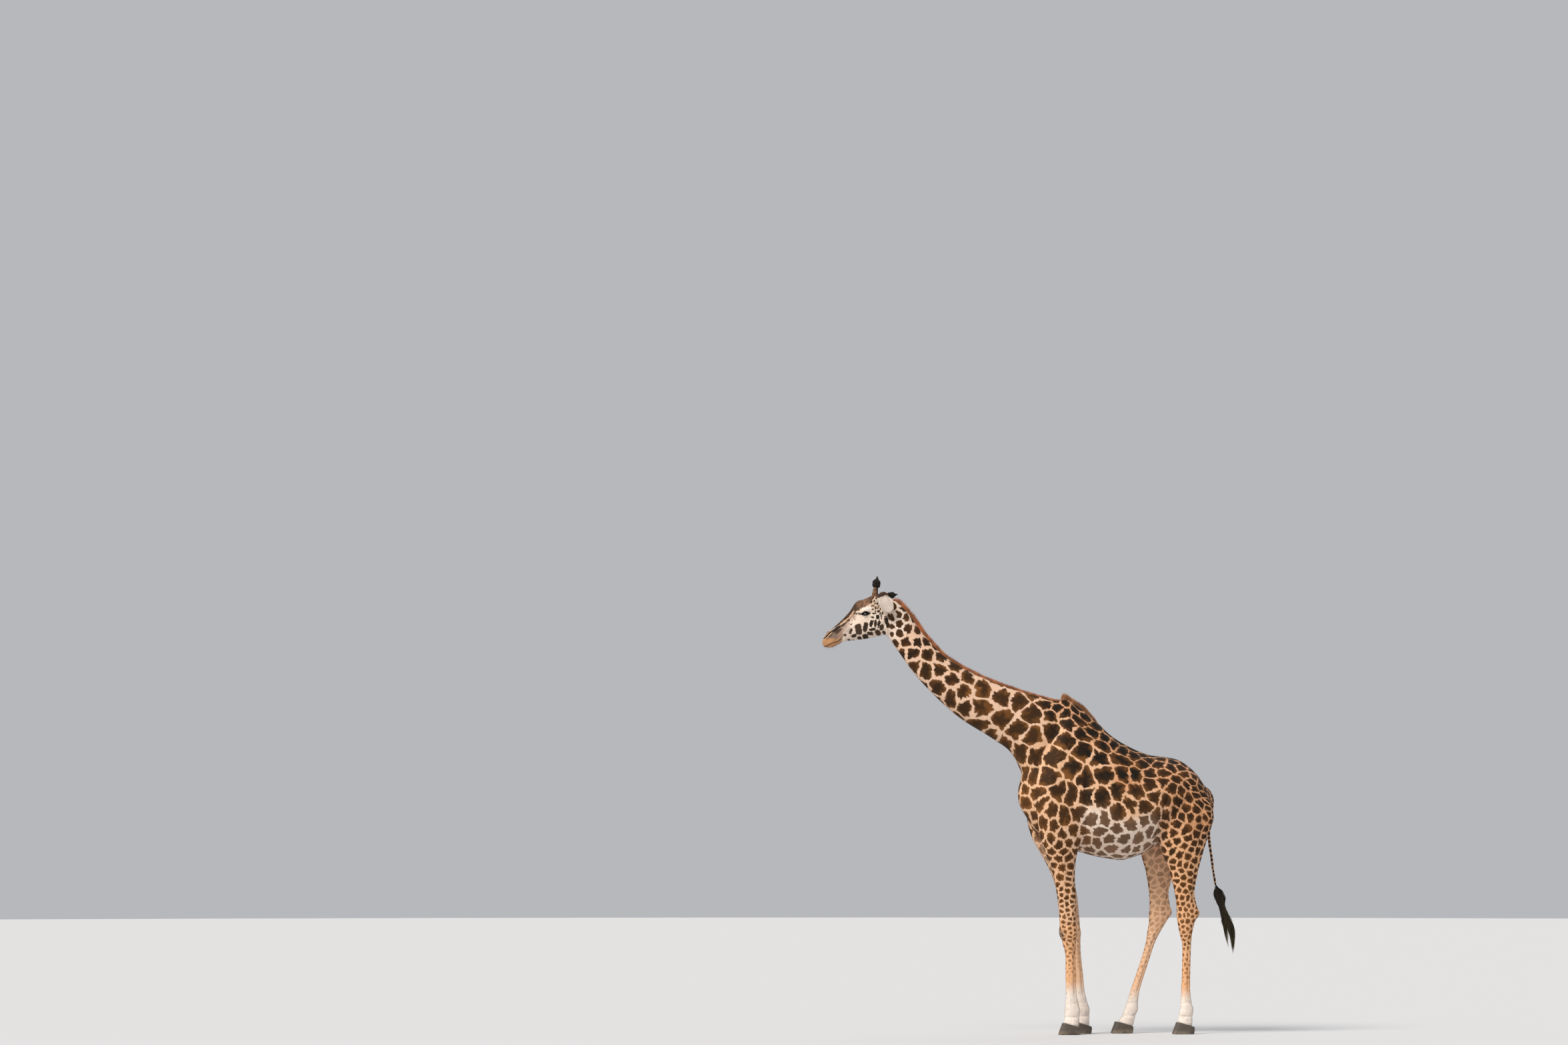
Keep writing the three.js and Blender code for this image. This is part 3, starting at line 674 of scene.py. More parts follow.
# %% Brow, cheek, nose, lips and throat
in_head = to_head(skin_points)
facing = outward(skin_points)
on_skull = 1 - ramp(np.linalg.norm(in_head - SKULL, axis=1), 0.38, 0.46)
not_ear = 1 - ramp(np.abs(in_head[:, 1]) + 0.6 * np.clip(in_head[:, 0] + 0.10, 0, 1), 0.115, 0.125)
on_face = on_skull * not_ear
beside = ramp(np.abs(in_head[:, 1]), 0.012, 0.034) * on_face
lift = np.zeros(len(skin_points))
NOSTRIL = [(-537, -190), (-515, -170), (-492, -147), (-472, -130)]
MOUTH = [(-530, -254), (-513, -252), (-487, -240), (-455, -226), (-420, -214), (-398, -197), (-384, -186)]
sculpt(lift, in_head, [
    ([-165, 84, 50], [44, 34, 15], 6, on_face),
    ([(-232, 16), (-206, 30), (-172, 35), (-140, 29), (-120, 14)], 5, 4, beside),
    ([(-222, -14), (-192, -29), (-158, -28), (-132, -14)], 4.5, 2.6, beside),
    ([(-205, -42), (-170, -50), (-135, -44)], 8, 2.5, beside),
    ([(-246, -6), (-228, 0), (-208, 0)], 6, 5, beside),
    ([(-255, 40), (-310, -2), (-370, -52), (-440, -104)], 15, 4.5, beside),
    ([(-228, -62), (-290, -95), (-350, -122)], 13, -3.5, beside),
    ([(-262, -70), (-246, -120), (-200, -172), (-120, -184)], 15, 5, beside),
    ([(-20, 90), (-2, 20), (-6, -50), (-24, -120)], 20, 8, beside),
    ([(-9, -100), (-14, -180)], 7, 6, beside),
    ([(14, -105), (20, -195)], 7, 6, beside),
    ([(36, -110), (52, -205)], 8, 6, beside),
    ([(-120, 90), (-112, 40), (-100, 0), (-104, -50)], 13, 4, beside),
    ([(-240, -30), (-262, -60), (-330, -84), (-400, -128)], 3, -1.3, beside),
    ([(-250, -52), (-300, -60), (-340, -40)], 2.5, -1.2, beside),
    ([(-540, -176), (-516, -146), (-488, -124), (-462, -128)], 6, -4.5, beside),
    ([(-534, -202), (-502, -181), (-474, -153), (-462, -134)], 6, -4.5, beside),
    (NOSTRIL, 5.2, 17, beside),
    ([(-455, -150), (-490, -196), (-530, -226)], 10, 3, beside),
    (MOUTH, 3.6, 8, on_face),
    ([(x + 4, z + 12) for x, z in MOUTH], 8, -2.5, on_face),
    ([(x + 4, z - 11) for x, z in MOUTH], 7, -3, on_face),
    ([(-376, -170), (-372, -196), (-384, -214)], 7, 3, beside),
])
skin_points = skin_points + facing * lift[:, None]

# %% [markdown]
# ## Lids that lie on the eyeball
# A lid is a thin fold that slides over a ball, so it is shaped from the ball: skin near the eye is kept
# 3 mm outside it, then everything inside an almond is sunk behind the ball's surface. Points close to
# the almond's edge are moved exactly onto it, which gives the lids one clean line.

# %% Open the lids
EYE_RADIUS = 27 * MM
LID = 3.2 * MM
LID_BACK = 6 * MM
ALMOND_LENGTH, UPPER_LID, LOWER_LID = 30 * MM, 14.5 * MM, 12 * MM
ALMOND_TILT = math.radians(8)
SNAP = 0.0017


def eye_axes(side):
    """Out of the eye, back along the lids, and up across them, in the head's frame."""
    out = np.array([-0.10, side, 0.10])
    out /= np.linalg.norm(out)
    back = np.array([math.cos(ALMOND_TILT), 0, math.sin(ALMOND_TILT)])
    back -= out * (back @ out)
    back /= np.linalg.norm(back)
    up = np.cross(out, back)
    return out, back, up * np.sign(up[2])


def almond_height(along):
    """Heights of the upper and the lower lid's edge at a place along the eye."""
    bow = 1 - np.clip(np.abs(along) / ALMOND_LENGTH, 0, 1) ** 2
    return UPPER_LID * bow ** 0.8 + 1 * MM, -LOWER_LID * bow + 1 * MM


for side in SIDES.values():
    out, back, up = eye_axes(side)
    in_head = to_head(skin_points)
    middle = mirrored(EYE, side)
    arm = in_head - middle
    far = np.linalg.norm(arm, axis=1)
    front = (arm @ out > 0.25 * far) & (far < 50 * MM)
    in_head[front] = middle + arm[front] * np.maximum(1, (EYE_RADIUS + LID) / far[front])[:, None]
    arm = in_head - middle - LID_BACK * back
    along, across = arm @ back, arm @ up
    top, bottom = almond_height(along)
    within = np.minimum(top - across, across - bottom)
    near = front & (np.abs(within) < SNAP) & (np.abs(along) < ALMOND_LENGTH)
    nearer_top = top - across < across - bottom
    in_head[near] += np.where(nearer_top, within, -within)[near][:, None] * up
    deep = front & (within >= SNAP) & (np.abs(along) < ALMOND_LENGTH)
    arm = in_head - middle
    far = np.linalg.norm(arm, axis=1)
    in_head[deep] = middle + arm[deep] * ((EYE_RADIUS - 7 * MM) / far[deep])[:, None]
    skin_points = np.where(front[:, None], from_head(in_head), skin_points)
    print("eye opening points:", int(deep.sum()), "on the lid edge:", int(near.sum()))

# %% [markdown]
# ## What the coat is like at each place
# The patches are large on the shoulder, small and dark on the back, greyish on the belly and fade out
# above the white socks. Painting that by hand on a mesh would fix it to this one mesh. A table of
# samples, each at a place seen from the side, can be blended for any point instead: near samples
# count most. A row gives x and z, how far apart patches are, half the width of the light line between
# them, how dark the middle of a patch is, and the colours of the line and of the patch.

# %% Coat colours
def paint(red, green, blue):
    """A colour given as it looks on a screen, turned into the linear light that Blender counts in."""
    value = np.array([red, green, blue]) / 255
    return np.where(value <= 0.04045, value / 12.92, ((value + 0.055) / 1.055) ** 2.4)


def toward(colour, goal, share):
    """A colour, or one for each place, taken towards another by each place's share."""
    return colour + (goal - colour) * np.asarray(share)[:, None]


CREAM = paint(243, 203, 172)
HONEY = paint(238, 190, 150)
AMBER = paint(216, 158, 114)
FAWN = paint(226, 170, 128)
APRICOT = paint(240, 184, 137)
CHALK = paint(240, 218, 199)
SOCK = paint(247, 233, 220)
BROWN = paint(128, 80, 34)
UMBER = paint(108, 66, 26)
SEPIA = paint(84, 52, 20)
TAN = paint(150, 98, 53)
SAND = paint(176, 120, 72)
ASH = paint(134, 101, 76)
BLACKISH = paint(19, 13, 3)

COAT_SAMPLES = [
    (-1450, 3400, 92, 11, 0.6, CHALK, UMBER), (-1350, 3290, 118, 12, 0.8, CREAM, UMBER),
    (-1280, 3220, 128, 11, 0.85, CREAM, UMBER), (-1100, 3080, 160, 11, 0.85, CREAM, BROWN),
    (-850, 2880, 182, 12, 0.8, CREAM, BROWN), (-600, 2720, 200, 12, 0.75, CREAM, BROWN),
    (-380, 2600, 215, 11, 0.75, CREAM, BROWN), (-200, 2350, 225, 11, 0.8, HONEY, BROWN),
    (-60, 2560, 180, 9, 0.9, HONEY, UMBER), (-150, 2100, 210, 10, 0.85, HONEY, BROWN),
    (0, 2330, 220, 10, 0.95, HONEY, BROWN), (0, 2750, 105, 6, 0.95, FAWN, SEPIA),
    (-370, 2050, 130, 10, 0.6, HONEY, BROWN), (-270, 1800, 125, 10, 0.6, HONEY, BROWN),
    (-80, 1850, 165, 10, 0.75, HONEY, BROWN), (40, 1640, 115, 10, 0.5, CREAM, BROWN),
    (200, 2300, 200, 9, 1.0, HONEY, UMBER), (200, 2050, 190, 9, 0.9, HONEY, UMBER),
    (180, 1780, 155, 13, 0.35, CHALK, ASH), (450, 2150, 185, 8, 1.0, AMBER, UMBER),
    (450, 1900, 170, 9, 0.75, HONEY, BROWN), (450, 1690, 150, 13, 0.3, CHALK, ASH),
    (450, 1510, 130, 16, 0.15, CHALK, ASH), (660, 1980, 155, 8, 0.75, HONEY, BROWN),
    (640, 1720, 130, 12, 0.3, CHALK, ASH), (180, 2620, 125, 4, 1.0, AMBER, SEPIA),
    (480, 2390, 125, 4, 1.0, AMBER, SEPIA), (780, 2290, 120, 5, 0.9, FAWN, SEPIA),
    (800, 2120, 132, 7, 0.8, FAWN, UMBER), (300, 2480, 150, 5.5, 1.0, AMBER, SEPIA),
    (1000, 2160, 112, 6, 0.8, FAWN, UMBER), (1170, 2020, 95, 5.5, 0.85, AMBER, SEPIA),
    (950, 1930, 108, 7.5, 0.8, AMBER, UMBER), (830, 1740, 98, 8, 0.7, FAWN, UMBER),
    (1080, 1800, 92, 7, 0.75, AMBER, UMBER), (900, 1600, 86, 8, 0.7, APRICOT, UMBER),
    (1080, 1550, 78, 7, 0.65, APRICOT, UMBER), (980, 1380, 68, 7, 0.6, APRICOT, BROWN),
    (980, 1180, 58, 6.5, 0.5, APRICOT, BROWN), (1000, 1000, 50, 6.5, 0.45, APRICOT, TAN),
    (1000, 800, 44, 7, 0.3, APRICOT, TAN), (1000, 560, 40, 8, 0.15, APRICOT, SAND),
    (-90, 1520, 88, 8, 0.7, HONEY, BROWN), (-70, 1350, 72, 7.5, 0.65, HONEY, BROWN),
    (-50, 1180, 60, 7, 0.6, HONEY, BROWN), (-30, 1000, 52, 7, 0.5, HONEY, TAN),
    (-30, 860, 46, 7.5, 0.4, APRICOT, TAN), (-10, 700, 42, 8, 0.25, APRICOT, SAND),
    (-10, 520, 40, 9, 0.1, APRICOT, SAND), (1240, 1950, 50, 5, 0.8, FAWN, SEPIA),
    (1230, 1650, 42, 4.5, 0.9, FAWN, SEPIA), (1270, 1380, 40, 4, 0.9, FAWN, SEPIA),
]


def blend_samples(points):
    """The samples' numbers at each point, nearer samples counting far more."""
    table = np.array([[*row[:5], *row[5], *row[6]] for row in COAT_SAMPLES])
    total, weights = np.zeros((len(points), table.shape[1] - 2)), np.zeros(len(points))
    for row in table:
        far = (points[:, 0] - row[0] * MM) ** 2 + (points[:, 2] - row[1] * MM) ** 2
        weight = 1 / (far + 0.0006) ** 2.2
        total += weight[:, None] * row[2:]
        weights += weight
    return total / weights[:, None]


body = unswung(skin_points)
facing = outward(skin_points)
coat = blend_samples(body)
pitch, gap, darkness = coat[:, :3].T
ground, patch = coat[:, 3:6], coat[:, 6:9]
print("patches from", round(pitch.min()), "to", round(pitch.max()), "mm apart")

# %% Belly, inner legs and socks
height = body[:, 2]
under = ramp(-facing[:, 2], 0.25, 0.85) * ramp(body[:, 0], -0.25, 0.05) * (1 - ramp(height, 1.75, 1.95))
inner = ramp(-facing[:, 1] * np.sign(body[:, 1]), 0.15, 0.8)
inner *= (1 - ramp(height, 1.5, 1.75)) * (height > 0.1)
inner *= ramp(np.abs(body[:, 1]), 0.02, 0.06)
sock_line = np.where(body[:, 0] < BETWEEN_LEGS, 0.40, 0.34)
sock = 1 - ramp(height, sock_line - 0.09, sock_line + 0.07)

ground = toward(ground, CHALK, 0.8 * under)
patch = toward(patch, ASH, 0.8 * under)
ground = toward(ground, paint(243, 205, 172), 0.6 * inner)
patch = toward(patch, ground, 0.62 * inner)
patch = toward(patch, ground, 1 - ramp(height, sock_line, sock_line + 0.20))
ground = toward(ground, SOCK, sock)
patch = toward(patch, SOCK, sock)
from_knee = (body - [-0.098, 0.148, 0.842]) * [1, 0, 1] / [0.05, 1, 0.045]
callus = np.exp(-(from_knee**2).sum(1)) * (body[:, 0] < BETWEEN_LEGS)
callus *= ramp(-facing[:, 0], 0.1, 0.7)
ground = toward(ground, paint(96, 84, 72), 0.75 * callus)
patch = toward(patch, paint(80, 68, 58), 0.75 * callus)
darkness *= (1 - 0.8 * under) * (1 - 0.7 * inner) * ramp(height, sock_line - 0.05, sock_line + 0.25)

# %% [markdown]
# ## Markings of the head
# A giraffe's face isn't patterned like its flank: the top of the nose and the forehead are one brown
# field with a ragged edge, the cheeks carry separate dark spots on white, and the lips are tan. Each
# spot is a rounded box here, given by its middle, half sizes and tilt, and how dark it is. The finish adds
# the ragged edge later, so the same few numbers serve the skin and the hair.

# %% Where the face's fields lie
in_head = to_head(skin_points)
flat_head = in_head[:, [0, 2]]
face = 1 - ramp(in_head[:, 0], 0.0, 0.05)
face *= 1 - ramp(np.linalg.norm(in_head - SKULL, axis=1), 0.42, 0.46)

NOSE_EDGE = [
    (-600, -215), (-540, -185), (-480, -112), (-420, -86), (-350, -24), (-290, 28), (-246, 42), (-212, 60),
    (-170, 76), (-140, 98), (-122, 126), (-108, 148), (0, 150), (100, 150),
]
RIPPLES = [[83, 40, 31], [-57, 90, 118], [151, -60, 97], [240, 30, -210]]
edge_x, edge_z = np.array(NOSE_EDGE).T * MM
nose_edge = np.interp(in_head[:, 0], edge_x, edge_z)
ripple = 4 * MM * sum(np.sin(in_head @ way) for way in RIPPLES)
nose_field = ramp(in_head[:, 2] - nose_edge + ripple, -5 * MM, 6 * MM)

FACE_SPOTS = [
    (-238, -118, 27, 39, 8, 0.35), (-178, -103, 19, 40, -12, 0.6), (-128, -72, 14, 28, -14, 0.7),
    (-95, -71, 10, 27, -4, 0.7), (-66, -72, 11, 30, -16, 0.7), (-1, -59, 15, 46, 14, 0.8),
    (-46, -100, 16, 22, 0, 0.35), (-120, -121, 25, 12, 8, 0.7), (-79, -143, 19, 18, 20, 0.3),
    (-140, -153, 23, 12, -6, 0.5), (-185, -174, 22, 17, 0, 0.6), (-235, -188, 16, 14, 0, 0.6),
    (-280, -170, 22, 12, 20, 0.6), (-306, -131, 12, 23, -24, 0.4), (-76, -13, 14, 18, 0, 1.0),
    (-47, -13, 5, 18, 0, 0.7), (18, -10, 9, 26, 12, 0.4), (41, -51, 6, 30, 0, 0.4),
    (-112, 12, 17, 5, 4, 0.9), (-125, -19, 14, 6, -8, 0.9), (-73, 32, 12, 11, 20, 0.9),
    (-57, 13, 6, 11, 0, 0.9), (-38, 18, 7, 12, 0, 0.7), (-96, 62, 8, 13, 0, 0.8),
    (-128, 80, 7, 10, 0, 0.7), (-76, 64, 7, 12, -20, 0.8), (-110, 118, 6, 13, -10, 0.7),
    (-92, 138, 7, 13, 0, 0.7), (-104, 98, 11, 6, 20, 0.7), (-80, 98, 8, 12, 0, 0.8),
    (-112, 78, 6, 8, 30, 0.8), (-118, 46, 8, 6, -20, 0.8), (-96, 34, 7, 8, 20, 0.8),
    (-60, 50, 6, 9, 0, 0.8), (-128, 140, 6, 9, 20, 0.6), (-64, 84, 6, 9, 10, 0.7),
    (-355, -162, 11, 9, 0, 0.3), (-329, -198, 12, 5, 4, 0.5), (-288, -203, 10, 5, 0, 0.5),
    (-377, -77, 20, 11, 36, 0.5), (-330, -41, 12, 10, 36, 0.2), (-413, -128, 34, 11, 36, 0.3),
    (-20, 60, 9, 16, 10, 0.7), (-30, -140, 12, 16, 20, 0.5), (-255, 12, 9, 5, 30, 0.5),
    (-300, -75, 9, 5, 30, 0.3), (-60, 180, 9, 14, 0, 0.8), (-432, -108, 44, 15, 38, 0.7),
    (-352, -60, 16, 8, 40, 0.4), (-276, 22, 14, 9, 60, 0.6), (-250, 52, 20, 10, -20, 0.6),
]
ROUNDNESS = 2.8
spot, spot_dark = np.full(len(skin_points), -30.0), np.zeros(len(skin_points))
for x, z, half_x, half_z, tilt, dark in FACE_SPOTS:
    lean = math.radians(tilt)
    arm = (flat_head - np.array([x, z]) * MM) / MM
    long = (arm[:, 0] * math.cos(lean) + arm[:, 1] * math.sin(lean)) / half_x
    high = (arm[:, 1] * math.cos(lean) - arm[:, 0] * math.sin(lean)) / half_z
    out = (np.abs(long) ** ROUNDNESS + np.abs(high) ** ROUNDNESS) ** (1 / ROUNDNESS)
    inside = (1.12 - out) * min(half_x, half_z)
    spot_dark = np.where(inside > spot, dark, spot_dark)
    spot = np.maximum(spot, inside)
spot = np.where(nose_field > 0.5, np.minimum(spot, -20), spot)

# %% Where the face changes colour
def along_nose(start, end):
    """0 up to start and 1 past end, in metres ahead of the ears."""
    return ramp(-in_head[:, 0], start, end)


STRIPE = [(-283, 38), (-314, -4), (-356, -36), (-413, -78)]
FACE_PATHS = (STRIPE, NOSTRIL, MOUTH)
far_stripe, far_nostril, far_mouth = [path_distance(flat_head, path)[0] for path in FACE_PATHS]
sided = ramp(np.abs(in_head[:, 1]), 0.012, 0.026)
stripe = 1 - ramp(far_stripe, 3 * MM, 7 * MM)
nostril_hole = 1 - ramp(far_nostril, 4 * MM, 7 * MM)
nostril_rim = ramp(far_nostril, 6 * MM, 9 * MM) * (1 - ramp(far_nostril, 12 * MM, 16 * MM))
mouth_line = 1 - ramp(far_mouth, 1.5 * MM, 4 * MM)
lip_top = np.interp(in_head[:, 0], [-0.60, -0.54, -0.48, -0.40], [-0.170, -0.176, -0.186, -0.200])
muzzle = along_nose(0.40, 0.47) * (1 - ramp(in_head[:, 2] - lip_top + ripple, -9 * MM, 9 * MM))
lips = (1 - ramp(far_mouth, 8 * MM, 24 * MM)) * along_nose(0.38, 0.42)
from_brow = (((flat_head - [-0.165, 0.050]) / [0.046, 0.020]) ** 2).sum(1)
brow = np.exp(-(from_brow**2)) * sided
below_edge = nose_edge - in_head[:, 2]
reach_down = 0.05 + 0.12 * along_nose(0.34, 0.41)
above_cheek = 1 - ramp(below_edge - reach_down + 2 * ripple, -0.01, 0.03)
nose_side = ramp(below_edge, 4 * MM, 14 * MM) * above_cheek
nose_side *= along_nose(0.235, 0.29)
throat = near_place(in_head, 22, -150, 75) * ramp(np.abs(in_head[:, 1]), 0.01, 0.03)

# %% Colours of the face
top_brown = toward(paint(88, 62, 43), paint(150, 110, 84), near_place(in_head, -205, 120, 95))
nose_brown = toward(paint(156, 122, 98), paint(92, 66, 48), along_nose(0.36, 0.46))
clouds = 0.25 * np.sin(in_head @ [310, 90, 190]) * np.sin(in_head @ [-120, 60, 260])
nose_brown = nose_brown * (1 + clouds)[:, None]
head_ground = np.tile(CHALK, (len(skin_points), 1))
for colour, share in (
    # Painted shade: greyish-brown darkening on the lower side of the face.
    (paint(205, 188, 176), 0.5 * near_place(in_head, -330, -160, 75)),
    (paint(224, 196, 170), ramp(in_head[:, 2], -0.02, 0.09) * (1 - brow)),
    (top_brown, nose_field),
    (nose_brown, 0.85 * nose_side),
    # Painted shade: a darker greyish-brown further up the lower side of the face.
    (paint(178, 156, 140), 0.6 * near_place(in_head, -345, -110, 62)),
    (paint(146, 122, 108), 0.55 * throat * (0.5 + 0.5 * np.sin(in_head[:, 0] * 420))),
    (paint(222, 176, 136), stripe * sided * 0.9),
    (paint(204, 150, 102), np.maximum(muzzle, lips) * 0.9),
    (paint(246, 234, 224), brow * 0.9),
    (paint(232, 184, 140), nostril_rim * sided * along_nose(0.44, 0.46) * 0.8),
    (paint(28, 20, 14), nostril_hole * sided),
    (paint(70, 46, 32), mouth_line * 0.85 * along_nose(0.38, 0.4)),
):
    head_ground = toward(head_ground, colour, share)

# %% Dark lids
duct, _ = path_distance(flat_head, [(-238, 14), (-222, 8), (-200, 10)])
for side in SIDES.values():
    out, back, up = eye_axes(side)
    arm = in_head - mirrored(EYE, side)
    this_eye = (arm @ out > 0) & (np.linalg.norm(arm, axis=1) < 0.09)
    arm = arm - LID_BACK * back
    along, across = arm @ back, arm @ up
    top, bottom = almond_height(along)
    outside = np.maximum(np.maximum(across - top, bottom - across), np.abs(along) - ALMOND_LENGTH)
    upper = ramp(across, -3 * MM, 3 * MM)
    dark_lid = 1 - ramp(outside, (3 + 3 * upper) * MM, (7 + 7 * upper) * MM)
    dark_lid = np.maximum(dark_lid, 0.9 - 0.9 * ramp(duct, 3 * MM, 13 * MM)) * this_eye
    head_ground = toward(head_ground, paint(30, 24, 20), dark_lid)
    spot = np.where(dark_lid > 0.3, -20, spot)

# %% Ears and horn stalks
ear_share = np.zeros(len(skin_points))
beside_skull = np.abs(in_head[:, 1]) + 0.2 * np.clip(in_head[:, 2] - 0.08, 0, 1)
for side in SIDES.values():
    long, wide, deep = ((in_head - mirrored(EAR_ROOT, side)) @ ear_frame(side).T / MM).T
    here = ramp(long, 6, 30) * (np.abs(wide) < 75) * (np.abs(deep) < 34)
    here *= ramp(beside_skull, 0.080, 0.090) * (long < EAR_LENGTH + 8)
    sway = wide + 5 * np.sin(long * 0.05)
    streak = 0.5 + 0.2 * np.sin(sway * 0.83) + 0.2 * np.sin(sway * 0.37 + 1) + 0.1 * np.sin(sway * 1.9)
    # The streak lines are the ear's own hair; making them stronger and darker towards the ear's lower part
    # is painted shade of the cupped ear.
    streak = 0.75 * streak * ramp(long - 0.5 * side * wide, 20, 110) + 0.15 * streak
    head_ground = toward(head_ground, toward(paint(234, 222, 212), paint(126, 104, 90), streak), here)
    ear_share = np.maximum(ear_share, here)

stalk_share = np.zeros(len(skin_points))
for horn in OSSICONES.values():
    far = np.min([np.linalg.norm(in_head - p, axis=1) for p in curve_through(horn * MM, 30)], axis=0)
    stalk_share = np.maximum(stalk_share, 1 - ramp(far, 0.030, 0.040))
stalk_only = stalk_share * (1 - ear_share)
stalk_front = 0.5 - 0.5 * facing @ HEAD_TURN[:, 0]
stalk_colour = toward(paint(84, 60, 44), paint(150, 108, 80), stalk_front)
head_ground = toward(head_ground, stalk_colour, stalk_only)
spot = np.where(np.maximum(ear_share, stalk_share) > 0.4, -20, spot)

face = np.maximum(face, np.maximum(ear_share, stalk_share))
spot_colour = toward(paint(104, 78, 60), paint(58, 42, 28), np.clip(spot_dark, 0, 1))
ground = toward(ground, head_ground, face)
patch = toward(patch, spot_colour, face)
darkness += (spot_dark - darkness) * face
print("face points:", int((face > 0.5).sum()), "of them on the ears:", int((ear_share > 0.5).sum()))

# %% [markdown]
# ## Middles of the patches
# Each patch grows from one middle, and the light line runs where two neighbours meet, so what matters is
# where the middles are. Throwing darts at the skin and refusing any that lands too near an earlier one
# spaces them naturally, with the allowed distance read from the coat samples. Moving each middle once to
# the centre of its own patch evens them out.

# %% Throw the darts
DART_ROOM, MOST_PATCHES = 0.68, 4000
BACK_LINE = [
    (-400, 2900), (0, 2810), (362, 2518), (502, 2428), (690, 2348), (860, 2320), (985, 2290), (1115, 2185),
    (1240, 2000),
]
dice = np.random.default_rng(7)


def nearest_middle(points, middles):
    """The index of the middle nearest to each point."""
    out = np.empty(len(points), int)
    squares = (middles**2).sum(1)
    for first in range(0, len(points), 20000):
        some = points[first:first + 20000]
        out[first:first + 20000] = np.argmin(squares - 2 * some @ middles.T, axis=1)
    return out


wobble_ways = dice.normal(size=(9, 3)) * dice.uniform(9, 32, 9)[:, None]
wobble_moves = dice.normal(size=(9, 3)) * 5 * MM
wobbles = enumerate(zip(wobble_ways, wobble_moves))
wobble = sum(np.sin(body @ way + k)[:, None] * move for k, (way, move) in wobbles)
place = body + wobble * np.clip(pitch / 110, 0.35, 1.6)[:, None]
back_line = np.interp(body[:, 0] / MM, *np.transpose(BACK_LINE)) * MM
over_back = np.clip(body[:, 2] - back_line + 0.24, 0, 1) * ramp(body[:, 0], -0.05, 0.15)
place[:, 2] += 0.55 * over_back
off_face = np.flatnonzero(face < 0.9)
middles, found = np.empty((MOST_PATCHES, 3)), 0
for k in dice.permutation(off_face)[:34000]:
    room = DART_ROOM * pitch[k] * MM
    if not found or ((middles[:found] - place[k]) ** 2).sum(1).min() > room * room:
        middles[found] = place[k]
        found += 1
middles = middles[:found]
crowd = place[dice.choice(off_face, 40000)]
owner = nearest_middle(crowd, middles)
count = np.bincount(owner, minlength=found)[:, None]
centre = np.stack([np.bincount(owner, part, found) for part in crowd.T], 1)
middles = np.where(count > 4, centre / np.maximum(count, 1), middles)
print(found, "patches")

# %% The three nearest middles of every face
finder = KDTree(len(middles))
for k, middle in enumerate(middles):
    finder.insert(middle, k)
finder.balance()
face_places = place[skin_faces].mean(1)
near_three = np.array([[hit[1] for hit in finder.find_n(p, 3)] for p in face_places.tolist()])
print("found three middles for", len(near_three), "faces")

# %% [markdown]
# ## The skin as a mesh with its measurements
# The markings' numbers are stored on the mesh as attributes: a place for every point, three middles for
# every face. The finish reads them and works out the patch's edge anew for every spot it shades, so the
# edge stays sharp however large the faces are. A picture wrapped round the animal would blur instead.

# %% Store the numbers on the mesh
def store(mesh, name, values, kind="FLOAT_VECTOR", domain="POINT"):
    values = np.asarray(values, np.float32)
    field = {"FLOAT_VECTOR": "vector", "FLOAT_COLOR": "color", "FLOAT": "value"}[kind]
    if kind == "FLOAT_COLOR":
        values = np.concatenate([values, np.ones((len(values), 1), np.float32)], 1)
    mesh.attributes.new(name, kind, domain).data.foreach_set(field, values.ravel())


COAT_VALUES = {
    "place": "FLOAT_VECTOR", "measure": "FLOAT_VECTOR", "on_face": "FLOAT_VECTOR",
    "ground": "FLOAT_COLOR", "patch": "FLOAT_COLOR", "shade": "FLOAT",
}
MIDDLES = ("middle_a", "middle_b", "middle_c")


def store_coat(mesh, values, three):
    """What the coat's finish reads: the values for each point, and three middles for each face."""
    for (name, kind), value in zip(COAT_VALUES.items(), values):
        store(mesh, name, value, kind)
    for name, own in zip(MIDDLES, three.T):
        store(mesh, name, middles[own], domain="FACE")


measure = np.stack([gap, pitch, darkness], 1)
marks = np.stack([face, np.clip(spot, -30, 30), nose_field * face], 1)
coat_values = [place, measure, marks, ground, patch]
skin_mesh.vertices.foreach_set("co", (skin_points + SHIFT).ravel().astype(np.float32))
skin_mesh.update()
skin_mesh.shade_smooth()
store_coat(skin_mesh, [*coat_values, np.ones(len(skin_points))], near_three)
skin = in_scene("skin", skin_mesh)
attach(skin, "root")
FLESH = ["head", "neck_upper", "neck_lower", "trunk", "tail"]
FLESH += [side + part for side in SIDES for part in ("_fore_leg", "_hind_leg", "_ear", "_ossicone")]
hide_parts(*FLESH)
print("the skin stands for", len(FLESH), "solids")

# %% [markdown]
# ## The finish of the coat
# The finish repeats in shading nodes what the darts set up. For each spot it measures the distance to
# the three nearest middles; halfway between the two nearest runs the light line. Noise that is read by
# direction from the patch's own middle pushes the edge in and out like the lobes of a leaf, and the same
# noise gives each patch its dark, star-shaped heart.

# %% Small helpers for nodes
def add_node(tree, kind, inputs=(), **settings):
    made = tree.nodes.new(kind)
    for name, value in settings.items():
        setattr(made, name, value)
    for name, value in dict(inputs).items():
        if isinstance(value, bpy.types.NodeSocket):
            tree.links.new(value, made.inputs[name])
        else:
            made.inputs[name].default_value = value
    return made


def calc(tree, operation, *values):
    return add_node(tree, "ShaderNodeMath", enumerate(values), operation=operation).outputs[0]


def plus(tree, a, b):
    return calc(tree, "ADD", a, b)


def minus(tree, a, b):
    return calc(tree, "SUBTRACT", a, b)


def times(tree, a, b):
    return calc(tree, "MULTIPLY", a, b)


def combine(tree, operation, *vectors, scale=None):
    inputs = dict(enumerate(vectors))
    if scale is not None:
        inputs["Scale"] = scale
    made = add_node(tree, "ShaderNodeVectorMath", inputs, operation=operation)
    return made.outputs["Value" if operation == "DISTANCE" else "Vector"]


def scaled(tree, vector, by):
    return combine(tree, "SCALE", vector, scale=by)


